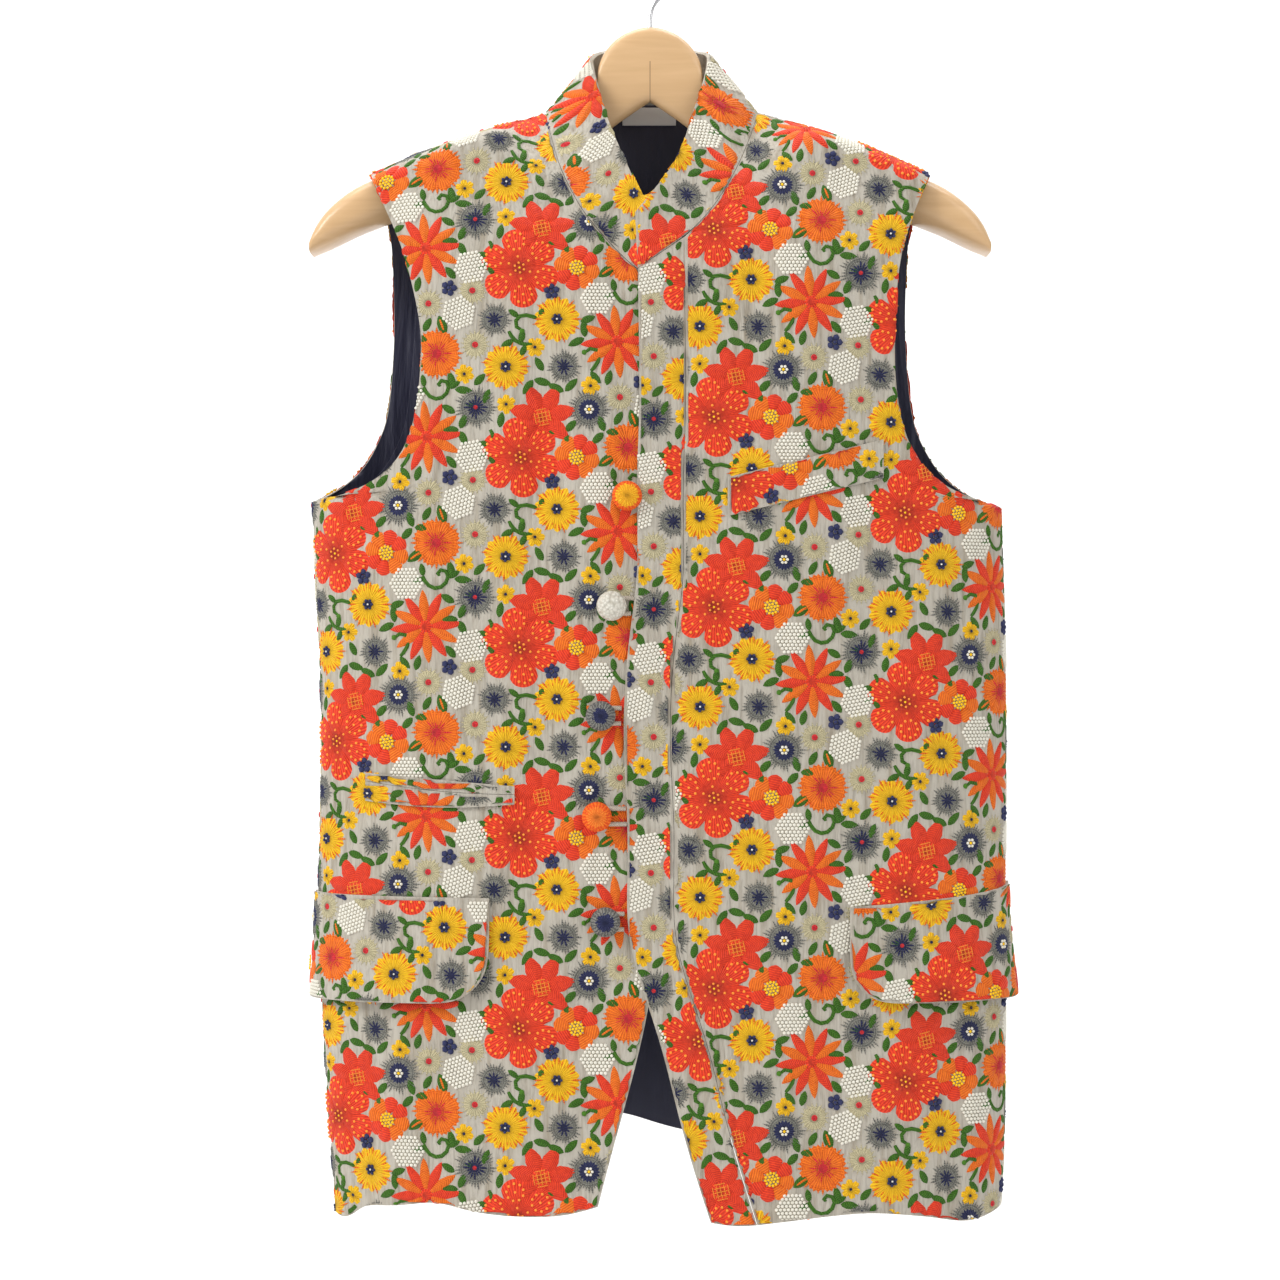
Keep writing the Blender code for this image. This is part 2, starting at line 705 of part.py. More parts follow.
def cloth_wall(name, columns, rows, place, outer, inner):
    """A closed cloth wall: place(s, t, lift) gives each point of its two faces."""
    bm = bmesh.new()
    bmesh.ops.create_grid(bm, x_segments=columns, y_segments=rows, size=0.5)
    grown = bmesh.ops.extrude_face_region(bm, geom=bm.faces[:], use_keep_orig=True)
    inside = {item for item in grown["geom"] if isinstance(item, bmesh.types.BMVert)}
    for vertex in bm.verts:
        lift = inner if vertex in inside else outer
        vertex.co = place(vertex.co.x + 0.5, 0.5 - vertex.co.y, lift)
    bmesh.ops.recalc_face_normals(bm, faces=bm.faces[:])
    return mesh_from(bm, name)


def ring_loft(name, sections):
    """A closed loft through rings of points, with flat ends."""
    around = len(sections[0])
    bm = bmesh.new()
    bmesh.ops.create_grid(bm, x_segments=len(sections) - 1, y_segments=around, size=0.5)
    for vertex in bm.verts:
        station = round((vertex.co.x + 0.5) * (len(sections) - 1))
        index = round((vertex.co.y + 0.5) * around) % around
        vertex.co = sections[station][index]
    bmesh.ops.remove_doubles(bm, verts=bm.verts[:], dist=1e-6)
    bmesh.ops.holes_fill(bm, edges=[edge for edge in bm.edges if edge.is_boundary], sides=0)
    bmesh.ops.recalc_face_normals(bm, faces=bm.faces[:])
    return mesh_from(bm, name)


def wire(name, points, radius, material, collection, bevel_resolution=2):
    curve = bpy.data.curves.new(name, "CURVE")
    curve.dimensions = "3D"
    curve.bevel_depth = radius
    curve.bevel_resolution = bevel_resolution
    curve.use_fill_caps = True
    spline = curve.splines.new("POLY")
    spline.points.add(len(points) - 1)
    for target, point in zip(spline.points, points):
        target.co = (*point, 1.0)
    return add_object(name, curve, material, collection)


def make_fronts(collection):
    cloth = make_material("front_cloth", COLOURS["cloth"])
    right_outer = outer_edge(FRONT_ARMHOLE, RIGHT)
    left_outer = outer_edge(FRONT_ARMHOLE, LEFT)

    def right_inner(z):
        if z > COLLAR_STATIONS[0][3]:
            return front_neck(RIGHT, z).x
        return along(UNDER_EDGE, z)[0]

    def band_seam(z):
        return along(BAND_EDGE, z)[0] + BAND_WIDTH

    def left_inner(z):
        if z > COLLAR_STATIONS[BAND_NECK_STATION][3]:
            return front_neck(LEFT, z).x
        return band_seam(z) + 0.5 * SEAM_GAP

    rungs = rungs_between(
        right_inner, right_outer,
        [COLLAR_STATIONS[0][3], WAIST_Z, HEMS["front_right"][-1][1]],
        [CHEST_Z, SHOULDERS[RIGHT][4], HEMS["front_right"][0][1]],
        (6, 12), neck_rungs(RIGHT, right_outer, CHEST_Z),
    )
    place = front_place(right_inner, right_outer, rungs, HEMS["front_right"], lapped=True)
    mesh = cloth_wall("front_right", 18, len(rungs) - 1, place, 0.0, -CLOTH)
    add_object("front_right", mesh, cloth, collection)

    band_top = COLLAR_STATIONS[BAND_NECK_STATION][3]
    hem_left = HEMS["front_left"]
    seam_hem = along(hem_left, band_seam(hem_left[0][1]))[0]
    rungs = rungs_between(
        left_inner, left_outer,
        [band_top, WAIST_Z, seam_hem],
        [CHEST_Z, SHOULDERS[LEFT][4], hem_left[-1][1]],
        (7, 12), neck_rungs(LEFT, left_outer, CHEST_Z),
    )
    place = front_place(left_inner, left_outer, rungs, hem_left)
    mesh = cloth_wall("front_left", 16, len(rungs) - 1, place, 0.0, -CLOTH)
    add_object("front_left", mesh, cloth, collection)

    def band_edge(z):
        return along(BAND_EDGE, z)[0]

    def band_outer(z):
        return band_seam(z) - 0.5 * SEAM_GAP

    rungs = rungs_between(
        band_edge, band_outer,
        [COLLAR_STATIONS[-1][3], WAIST_Z, hem_left[0][1]],
        [band_top, WAIST_Z, seam_hem],
        (7, 12),
    )
    place = front_place(band_edge, band_outer, rungs, hem_left, shouldered=False)
    mesh = cloth_wall("front_band", 2, len(rungs) - 1, place, 0.0, -CLOTH)
    add_object("front_band", mesh, make_material("band_cloth", COLOURS["cloth"]), collection)


def make_back(collection):
    edges = {side: outer_edge(BACK_ARMHOLE, side) for side in (RIGHT, LEFT)}
    hem = HEMS["back"]
    roof_foot = roof_rungs()[-1]
    rungs = rungs_between(
        edges[RIGHT], edges[LEFT],
        [roof_foot[0], CHEST_Z, SHOULDERS[RIGHT][4], hem[0][1]],
        [roof_foot[1], CHEST_Z, SHOULDERS[LEFT][4], hem[-1][1]],
        (5, 6, 11), roof_rungs(),
    )
    columns = sum(BACK_COLUMNS)
    rows = len(rungs) - 1
    on_back = back_place(rungs, edges)
    mesh = cloth_wall("back", columns, rows, on_back, 0.0, -CLOTH)
    add_object("back", mesh, make_material("back_cloth", COLOURS["cloth"]), collection)

    outer = -CLOTH - SEAM_GAP

    def lining_place(s, t, lift):
        column = blend(LINING_INSET[0], columns - LINING_INSET[0], s)
        row = blend(LINING_INSET[1], rows, t)
        return on_back(column / columns, row / rows, lift)

    mesh = cloth_wall("back_lining", columns - 2 * LINING_INSET[0], rows - LINING_INSET[1],
                      lining_place, outer, outer - LINING_CLOTH)
    lining = make_material("lining_satin", COLOURS["lining"], roughness=0.4)
    add_object("back_lining", mesh, lining, collection)

    inner_face = outer - LINING_CLOTH - LAY_GAP

    def label_place(s, t, lift):
        return lay_on(BACK, blend(*LABEL_X, s), blend(*LABEL_Z, t), lift)

    mesh = cloth_wall("neck_label", 4, 2, label_place, inner_face, inner_face - LINING_CLOTH)
    add_object("neck_label", mesh, make_material("label_cloth", COLOURS["label"]), collection)


def make_collar(collection):
    last = COLLAR_STATIONS[-1][0]
    neck_steps = BACK_COLUMNS[1]
    behind = [blend(RIGHT_NECK_STATION, LEFT_NECK_STATION, step / neck_steps)
              for step in range(1, neck_steps)]
    columns = neck_columns(RIGHT)[::-1] + behind + neck_columns(LEFT) + [last - 1, last]

    def place(s, t, lift):
        station = columns[round(s * (len(columns) - 1))]
        seam, free = collar_station(station)
        ahead = collar_station(min(station + STATION_STEP, last))
        behind_it = collar_station(max(station - STATION_STEP, 0))
        lengthways = ahead[0] - behind_it[0] + ahead[1] - behind_it[1]
        upwards = free - seam
        inward = -lift / COLLAR_CLOTH
        clear = SEAM_GAP + blend(COLLAR_OUTER_CLEAR, COLLAR_BEVEL, inward)
        start = seam + upwards.normalized() * clear
        normal = upwards.cross(lengthways).normalized()
        return start.lerp(free, t) + normal * lift

    mesh = cloth_wall("collar", len(columns) - 1, 2, place, 0.0, -COLLAR_CLOTH)
    add_object("collar", mesh, make_material("collar_cloth", COLOURS["cloth"]), collection)


def make_pockets(collection):
    trim = make_material("pocket_cloth", COLOURS["cloth"])

    def welt_place(s, t, lift):
        x = blend(WELT_INNER[0], WELT_OUTER[0], s)
        z = blend(WELT_INNER[1], WELT_OUTER[1], s) - WELT_HEIGHT * t
        return lay_on(FRONT, x, z, lift)

    mesh = cloth_wall("chest_welt", 10, 2, welt_place, TRIM_GAP + TRIM_CLOTH, TRIM_GAP)
    add_object("chest_welt", mesh, trim, collection)

    def ticket_line(line, s):
        outer_z, inner_z, bow = TICKET_LINES[line]
        return blend(outer_z, inner_z, s) - bow * math.sin(math.pi * s)

    for name, upper, lower in (("upper", "top", "opening"), ("lower", "opening", "bottom")):
        gap = 0.5 * SEAM_GAP

        def jet_place(s, t, lift, upper=upper, lower=lower):
            z = blend(ticket_line(upper, s) - gap, ticket_line(lower, s) + gap, t)
            return lay_on(FRONT, blend(*TICKET_X, s), z, lift, lapped=True)

        mesh = cloth_wall(f"ticket_jet_{name}", 10, 1, jet_place, TRIM_GAP + TRIM_CLOTH, TRIM_GAP)
        add_object(f"ticket_jet_{name}", mesh, trim, collection)

    for side, name in ((RIGHT, "flap_right"), (LEFT, "flap_left")):
        inner_x, inner_top, side_top, bottom, radius = FLAPS[side]
        rows = FLAP_STRAIGHT_ROWS + FLAP_ROUND_ROWS

        def flap_place(s, t, lift, side=side, inner_x=inner_x, inner_top=inner_top,
                       side_top=side_top, bottom=bottom, radius=radius):
            row = round(t * rows)
            turn = max(row - FLAP_STRAIGHT_ROWS, 0) / FLAP_ROUND_ROWS * math.pi / 2.0
            edge_x = inner_x + side * radius * (1.0 - math.cos(turn))
            edge_z = blend(inner_top, bottom + radius, min(row / FLAP_STRAIGHT_ROWS, 1.0))
            edge_z -= radius * math.sin(turn)
            fall = (inner_top - edge_z) / (inner_top - bottom)
            level = edge_z + (side_top - inner_top) * s * (1.0 - fall)
            angle = blend(angle_of(edge_x, edge_z), side * FLAP_END_ANGLE, s)
            outward = FLAP_LIFT * fall ** FLAP_LIFT_CURVE
            return skin(FRONT, angle, level, lift + outward, lapped=side == RIGHT)

        mesh = cloth_wall(name, 9, rows, flap_place, TRIM_GAP + FLAP_CLOTH, TRIM_GAP)
        add_object(name, mesh, trim, collection)


def button_profile():
    """Half outline of a domed button on its shank, from the top of the dome down."""
    rim = BUTTON_BASE + BUTTON_ROUND
    dome = BUTTON_BASE + BUTTON_HEIGHT
    outline = [(0.0, dome)]
    for step in range(1, DOME_STEPS + 1):
        turn = math.pi / 2.0 * step / DOME_STEPS
        outline.append((BUTTON_RADIUS * math.sin(turn), blend(rim, dome, math.cos(turn))))
    outline.append((BUTTON_RADIUS - BUTTON_ROUND, BUTTON_BASE))
    outline.append((SHANK_RADIUS, BUTTON_BASE))
    outline.append((SHANK_RADIUS, LAY_GAP))
    outline.append((0.0, LAY_GAP))
    return [Vector((radius, 0.0, height)) for radius, height in outline]


def turned(name, profile, steps):
    bm = bmesh.new()
    vertices = [bm.verts.new(point) for point in profile]
    edges = [bm.edges.new(pair) for pair in zip(vertices, vertices[1:])]
    bmesh.ops.spin(bm, geom=vertices + edges, cent=(0, 0, 0), axis=(0, 0, 1),
                   angle=math.tau, steps=steps, use_merge=True)
    bmesh.ops.remove_doubles(bm, verts=bm.verts[:], dist=1e-6)
    bmesh.ops.recalc_face_normals(bm, faces=bm.faces[:])
    return mesh_from(bm, name)


def make_closures(collection):
    loop_material = make_material("loop_cord", COLOURS["loop"])
    for number, (x, z, colour) in enumerate(BUTTONS, start=1):
        seat = lay_on(FRONT, x, z, 0.0, lapped=True)
        mesh = turned(f"button_{number}", button_profile(), BUTTON_STEPS)
        material = make_material(f"button_{number}_cloth", colour, roughness=0.7)
        button = add_object(f"button_{number}", mesh, material, collection)
        button.location = seat
        button.rotation_euler = (math.radians(90), 0.0, 0.0)

        height = LAY_GAP + 0.5 * LOOP_CORD + SEAM_GAP
        half = 0.5 * LOOP_SPREAD
        upper_x, lower_x = (along(BAND_EDGE, z + shift)[0] - LOOP_GAP for shift in (half, -half))
        bend_x = min(x, upper_x - LOOP_GAP, lower_x - LOOP_GAP)
        route = [(upper_x, z + half)]
        for step in range(LOOP_STEPS + 1):
            turn = math.pi / 2.0 + math.pi * step / LOOP_STEPS
            route.append((bend_x + half * math.cos(turn), z + half * math.sin(turn)))
        route.append((lower_x, z - half))
        points = [lay_on(FRONT, at_x, at_z, height, lapped=True) for at_x, at_z in route]
        wire(f"loop_{number}", points, 0.5 * LOOP_CORD, loop_material, collection)


def hanger_top(distance, side):
    """Top of the hanger: the arched head, then the arm under the shoulder seam."""
    rise = HEAD_TOP_Z
    arch = None
    if distance < HEAD_HALF_WIDTH:
        arch = rise - HEAD_HALF_WIDTH * (1.0 - math.sqrt(1.0 - (distance / HEAD_HALF_WIDTH) ** 2))
    neck_x = abs(SHOULDERS[side][0])
    if distance <= abs(SHOULDERS[side][2]):
        arm = ridge(side * max(distance, neck_x)) - CLOTH - HANGER_CLEARANCE
        arm += HANGER_RISE * max(neck_x - distance, 0.0)
        arm -= HANGER_NECK_DROP * (1.0 - smooth((distance - neck_x) / HANGER_NECK_RUN))
    else:
        arm = along(HANGER_TIP, distance)[0]
    return max(arch, arm) if arch is not None else arm


def hanger_ring(distance, side):
    """A rounded section across the hanger, level at its top and bottom."""
    bottom, half = along(HANGER_SECTIONS, distance)
    top = hanger_top(distance, side)
    corner = min(HANGER_CORNER, HANGER_CORNER_HEIGHT * (top - bottom))
    width = min(corner * HANGER_CORNER_STRETCH, HANGER_CORNER_WIDTH * half)
    ring = []
    for centre_turn, sign_y, sign_z in ((0, 1, 1), (1, 1, -1), (2, -1, -1), (3, -1, 1)):
        for step in range(HANGER_CORNER_STEPS + 1):
            turn = math.pi / 2.0 * (centre_turn + step / HANGER_CORNER_STEPS)
            y = sign_y * (half - width) + width * math.sin(turn)
            base = top - corner if sign_z > 0 else bottom + corner
            ring.append(Vector((side * distance, y, base + corner * math.cos(turn))))
    return ring


def make_hanger(collection, cutters):
    sections = [hanger_ring(distance, RIGHT) for distance in reversed(HANGER_STATIONS[1:])]
    sections += [hanger_ring(distance, LEFT) for distance in HANGER_STATIONS]
    wood = make_material("varnished_wood", COLOURS["wood"], roughness=0.35)
    hanger = add_object("hanger", ring_loft("hanger", sections), wood, collection)

    bm = bmesh.new()
    bmesh.ops.create_cone(bm, cap_ends=True, segments=16, radius1=HOLE_RADIUS, radius2=HOLE_RADIUS,
                          depth=2.0 * HOLE_DEPTH)
    bmesh.ops.translate(bm, vec=(0.0, 0.0, HEAD_TOP_Z), verts=bm.verts[:])
    hole = add_object("hook_hole", mesh_from(bm, "hook_hole"), wood, cutters)
    hole.hide_render = True
    hole.display_type = "WIRE"
    cut = hanger.modifiers.new("hook_hole", "BOOLEAN")
    cut.operation = "DIFFERENCE"
    cut.object = hole

    points = [Vector((x, 0.0, z)) for x, z in HOOK_NECK]
    for step in range(HOOK_STEPS + 1):
        turn = HOOK_END * step / HOOK_STEPS
        height = HOOK_CENTRE_Z + HOOK_RADIUS * math.sin(turn)
        points.append(Vector((HOOK_RADIUS * math.cos(turn), 0.0, height)))
    steel = make_material("hook_steel", COLOURS["steel"], roughness=0.25, metallic=1.0)
    wire("hanger_hook", points, HOOK_WIRE, steel, collection)


def main():
    for thing in list(bpy.data.objects):
        bpy.data.objects.remove(thing)
    collection = bpy.data.collections.new(OBJECT_NAME)
    cutters = bpy.data.collections.new("cutters")
    for group in (collection, cutters):
        bpy.context.scene.collection.children.link(group)
    make_fronts(collection)
    make_back(collection)
    make_collar(collection)
    make_pockets(collection)
    make_closures(collection)
    make_hanger(collection, cutters)


main()
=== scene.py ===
# %% [markdown]
# # A long embroidered waistcoat on a wooden hanger
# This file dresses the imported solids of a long, sleeveless waistcoat. Its linen-like cloth
# is covered with embroidered flowers, and it hangs on a varnished wooden hanger.
# Everything is in metres: +Z is up, the fronts face -Y, and the point where the hook hangs
# on its rail is the origin.

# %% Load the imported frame
import itertools
import math

import bmesh
import bpy
import numpy as np
from mathutils import Matrix, Vector
from mathutils.bvhtree import BVHTree


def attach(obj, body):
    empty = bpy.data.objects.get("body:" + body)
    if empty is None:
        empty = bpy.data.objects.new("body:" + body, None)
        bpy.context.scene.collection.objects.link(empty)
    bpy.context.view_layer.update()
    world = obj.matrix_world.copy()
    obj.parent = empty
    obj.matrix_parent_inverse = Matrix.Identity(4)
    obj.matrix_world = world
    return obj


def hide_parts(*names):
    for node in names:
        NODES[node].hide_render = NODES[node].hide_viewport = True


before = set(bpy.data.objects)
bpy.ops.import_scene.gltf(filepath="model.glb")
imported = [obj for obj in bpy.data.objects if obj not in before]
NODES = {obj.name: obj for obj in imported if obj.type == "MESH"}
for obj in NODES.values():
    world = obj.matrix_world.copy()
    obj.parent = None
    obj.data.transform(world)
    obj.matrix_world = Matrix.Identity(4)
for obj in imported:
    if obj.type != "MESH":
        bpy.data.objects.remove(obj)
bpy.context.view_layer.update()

# %% [markdown]
# ## Camera, floor and light
# The waistcoat is seen straight from the front, at about the height of its chest, so a
# level camera with no shift is enough. The floor is a pale sheet that sweeps up behind the
# garment, as in a photographer's studio, which gives an even background without a horizon.

# %% Camera
CAMERA_PLACE = (-0.00666, -1.85, -0.46807)
CAMERA_LENS = 78.16

camera_data = bpy.data.cameras.new("front_view")
camera_data.sensor_width = 36.0
camera_data.lens = CAMERA_LENS
camera = bpy.data.objects.new("front_view", camera_data)
camera.location = CAMERA_PLACE
camera.rotation_euler = (math.radians(90), 0.0, 0.0)
bpy.context.scene.collection.objects.link(camera)
bpy.context.scene.camera = camera
bpy.context.scene.view_settings.view_transform = "Standard"
print("camera at", CAMERA_PLACE, "with a", CAMERA_LENS, "mm lens")

# %% Floor that sweeps up to a wall
FLOOR_Z = -1.02
SWEEP_RADIUS = 0.9
SWEEP_FRONT = -2.6
SWEEP_BACK = 1.3
SWEEP_HALF_WIDTH = 4.0
WALL_HEIGHT = 3.2


def principled(material):
    return material.node_tree.nodes["Principled BSDF"]


def plain_material(name, colour, roughness):
    material = bpy.data.materials.new(name)
    material.use_nodes = True
    principled(material).inputs["Base Color"].default_value = (*colour, 1.0)
    principled(material).inputs["Roughness"].default_value = roughness
    return material


def new_piece(name, bm, *materials):
    """A linked object made of a bmesh, which is freed."""
    mesh = bpy.data.meshes.new(name)
    bm.to_mesh(mesh)
    bm.free()
    for material in materials:
        mesh.materials.append(material)
    piece = bpy.data.objects.new(name, mesh)
    bpy.context.scene.collection.objects.link(piece)
    return piece


def sweep_floor():
    bm = bmesh.new()
    start = bm.verts.new((-SWEEP_HALF_WIDTH, SWEEP_FRONT, FLOOR_Z))
    corner = bm.verts.new((-SWEEP_HALF_WIDTH, SWEEP_BACK, FLOOR_Z))
    bm.edges.new((start, corner))
    turned = bmesh.ops.spin(
        bm, geom=[corner], cent=(0, SWEEP_BACK, FLOOR_Z + SWEEP_RADIUS), axis=(1, 0, 0),
        angle=math.radians(90), steps=16)
    top = turned["geom_last"][0]
    raised = bmesh.ops.extrude_vert_indiv(bm, verts=[top])["verts"][0]
    raised.co.z += WALL_HEIGHT
    wide = bmesh.ops.extrude_edge_only(bm, edges=bm.edges[:])
    moved = [item for item in wide["geom"] if isinstance(item, bmesh.types.BMVert)]
    bmesh.ops.translate(bm, vec=(2.0 * SWEEP_HALF_WIDTH, 0, 0), verts=moved)
    bmesh.ops.recalc_face_normals(bm, faces=bm.faces[:])
    print("floor:", len(bm.faces), "faces")
    return new_piece("studio_sweep", bm, plain_material("pale_paper", (0.90, 0.90, 0.90), 0.9))


sweep = sweep_floor()
sweep.data.shade_smooth()

# %% Soft lights
LAMPS = (
    # name, place, aims at, width, watts
    ("window_left", (-2.0, -1.3, 1.05), (0.0, 0.0, -0.15), 1.2, 48.0),
    ("window_right", (1.7, -1.6, 0.80), (0.0, 0.0, -0.25), 1.4, 14.0),
    ("wall_light", (0.0, 0.55, 1.15), (0.0, 1.9, -0.4), 1.6, 34.0),
)
SKY_STRENGTH = 0.57

for name, place, target, width, watts in LAMPS:
    lamp = bpy.data.lights.new(name, "AREA")
    lamp.size = width
    lamp.energy = watts
    lamp_object = bpy.data.objects.new(name, lamp)
    lamp_object.location = place
    aim = Vector(target) - Vector(place)
    lamp_object.rotation_euler = aim.to_track_quat("-Z", "Y").to_euler()
    bpy.context.scene.collection.objects.link(lamp_object)

sky = bpy.data.worlds.new("pale_room")
sky.use_nodes = True
sky.node_tree.nodes["Background"].inputs["Color"].default_value = (1.0, 1.0, 1.0, 1.0)
sky.node_tree.nodes["Background"].inputs["Strength"].default_value = SKY_STRENGTH
bpy.context.scene.world = sky
print("lights:", len(LAMPS), "soft boxes and a pale room")

# %% [markdown]
# ## Effects that several finishes share
# Cloth shows its threads and its crinkles, with shade painted into the troughs. Each effect is
# built once as a node group with named sockets, and every finish gives it its own values. A
# group hands out only heights, masks and colours, and the shader itself stays in the material.


# %% Helpers for node trees
def add_node(tree, kind, **settings):
    node = tree.nodes.new(kind)
    for key, value in settings.items():
        setattr(node, key, value)
    return node


def feed(tree, socket, source):
    """Links a socket to another one, or gives it a number, a colour or a direction."""
    if isinstance(source, bpy.types.NodeSocket):
        tree.links.new(source, socket)
    elif socket.type == "RGBA":
        socket.default_value = (*source, 1.0)
    else:
        socket.default_value = source


def math_node(tree, operation, *sources, kind="ShaderNodeMath"):
    node = add_node(tree, kind, operation=operation)
    for socket, source in zip(node.inputs, sources):
        feed(tree, socket, source)
    return node.outputs


def number(tree, operation, *sources):
    return math_node(tree, operation, *sources)["Value"]


def vector(tree, operation, *sources):
    return math_node(tree, operation, *sources, kind="ShaderNodeVectorMath")["Vector"]


def parts_of(tree, place):
    """The X, Y and Z of a place."""
    split = add_node(tree, "ShaderNodeSeparateXYZ")
    feed(tree, split.inputs[0], place)
    return split.outputs


def add_noise(tree, place, scale, detail=2.0, distortion=0.0):
    """Soft noise over a place, from 0 to 1."""
    noise = add_node(tree, "ShaderNodeTexNoise")
    for name, source in (("Vector", place), ("Scale", scale), ("Detail", detail),
                         ("Distortion", distortion)):
        feed(tree, noise.inputs[name], source)
    return noise.outputs["Fac"]


def new_group(name, inputs, outputs):
    """An empty node group with its sockets, and the nodes that stand for its two sides."""
    group = bpy.data.node_groups.new(name, "ShaderNodeTree")
    for socket_name, kind, value in inputs:
        socket = group.interface.new_socket(socket_name, in_out="INPUT", socket_type=kind)
        if value is not None:
            socket.default_value = value
    for socket_name in outputs:
        group.interface.new_socket(socket_name, in_out="OUTPUT", socket_type="NodeSocketFloat")
    entry = group.nodes.new("NodeGroupInput").outputs
    leave = group.nodes.new("NodeGroupOutput").inputs
    return group, entry, leave


# %% The weave group: threads over and under, from a position in metres
def build_weave():
    group, entry, leave = new_group(
        "plain_weave",
        (("Position", "NodeSocketVector", None), ("Threads per metre", "NodeSocketFloat", 1400.0)),
        ("Height",))
    place = parts_of(group, entry["Position"])
    waves = []
    for axis in ("X", "Z"):
        turn = number(group, "MULTIPLY", place[axis], entry["Threads per metre"])
        turn = number(group, "MULTIPLY", turn, math.pi)
        waves.append(number(group, "ABSOLUTE", number(group, "SINE", turn)))
    feed(group, leave["Height"], number(group, "MULTIPLY", *waves))
    return group


WEAVE = build_weave()
print("weave group with", len(WEAVE.nodes), "nodes")


# %% The crinkle group: fine creases that run up and down the cloth
# This range paints the crease bottoms darker, as shade.
CREASE_RANGE = (("From Min", 0.25), ("From Max", 0.52))


def build_crinkle():
    group, entry, leave = new_group(
        "crinkle",
        (("Position", "NodeSocketVector", None), ("Across", "NodeSocketFloat", 620.0),
         ("Along", "NodeSocketFloat", 75.0)),
        ("Height", "Shade and tone"))
    stretch = add_node(group, "ShaderNodeCombineXYZ")
    for axis, source in (("X", "Across"), ("Y", "Across"), ("Z", "Along")):
        feed(group, stretch.inputs[axis], entry[source])
    stretched = vector(group, "MULTIPLY", entry["Position"], stretch.outputs[0])
    fine = add_noise(group, stretched, 1.0, 4.0, 0.35)
    feed(group, leave["Height"], fine)
    sharp = add_node(group, "ShaderNodeMapRange")
    for name, source in (*CREASE_RANGE, ("Value", fine)):
        feed(group, sharp.inputs[name], source)
    feed(group, leave["Shade and tone"], sharp.outputs[0])
    return group


CRINKLE = build_crinkle()
print("crinkle group with", len(CRINKLE.nodes), "nodes")


# %% A finish: its own colours over a weave or a crinkle
def use_group(tree, group, **values):
    """The outputs of a node group that is fed by the names of its inputs."""
    node = tree.nodes.new("ShaderNodeGroup")
    node.node_tree = group
    for name, value in values.items():
        feed(tree, node.inputs[name.replace("_", " ")], value)
    return node.outputs


def object_position(tree):
    return add_node(tree, "ShaderNodeTexCoord").outputs["Object"]


def blend(tree, mask, first, second, how="MIX"):
    """Two colours mixed by a mask."""
    mix = add_node(tree, "ShaderNodeMix", data_type="RGBA", blend_type=how)
    for name, source in (("Factor", mask), ("A", first), ("B", second)):
        feed(tree, mix.inputs[name], source)
    return mix.outputs["Result"]


def raise_surface(tree, height, distance, under=None):
    """A normal that is bent by a height, over another normal if there is one."""
    bump = add_node(tree, "ShaderNodeBump")
    for name, source in (("Height", height), ("Distance", distance), ("Strength", 1.0)):
        feed(tree, bump.inputs[name], source)
    if under is not None:
        feed(tree, bump.inputs["Normal"], under)
    return bump.outputs["Normal"]


def new_finish(name, colour, roughness, **inputs):
    """A material and its node tree, with more of its shader's values by name."""
    material = plain_material(name, colour, roughness)
    for key, value in inputs.items():
        principled(material).inputs[key.replace("_", " ")].default_value = value
    return material, material.node_tree


def put_on(material, **sources):
    """Links colours, masks and normals to a finish's shader, by the names of its inputs."""
    for key, source in sources.items():
        feed(material.node_tree, principled(material).inputs[key.replace("_", " ")], source)
    return material


# %% [markdown]
# ## The ground cloth and the lining
# The ground is a greige, linen-like cloth with fine upright crinkles, and its crease bottoms
# are painted a little darker and browner, as shade. The lining is navy satin: smooth, with a
# soft streaky shine, which is also painted into its colour.

# %% Ground cloth
def soft_folds(tree, place):
    """The broad, mostly upright rise and fall of hung cloth, as a normal."""
    folds = use_group(tree, CRINKLE, Position=place, Across=26.0, Along=6.0)
    return raise_surface(tree, folds["Height"], 0.010)


def ground_finish():
    material, tree = new_finish("embroidered_ground", (0.44, 0.40, 0.33), 0.9, Sheen_Weight=0.15)
    place = object_position(tree)
    crinkle = use_group(tree, CRINKLE, Position=place)
    # Painted shade: the cloth is coloured darker in the crinkles' troughs.
    colour = blend(tree, crinkle["Shade and tone"], (0.375, 0.335, 0.275), (0.525, 0.485, 0.410))
    # Painted shade: broader creases darken the cloth again, as shade in its soft folds.
    creases = use_group(tree, CRINKLE, Position=place, Across=170.0, Along=14.0)
    shade = blend(tree, creases["Shade and tone"], (0.70, 0.65, 0.58), (1.0, 1.0, 1.0))
    weave = use_group(tree, WEAVE, Position=place, Threads_per_metre=1500.0)
    normal = raise_surface(tree, crinkle["Height"], 0.0009, soft_folds(tree, place))
    return put_on(material, Base_Color=blend(tree, 1.0, colour, shade, "MULTIPLY"),
                  Normal=raise_surface(tree, weave["Height"], 0.00012, normal))


GROUND = ground_finish()


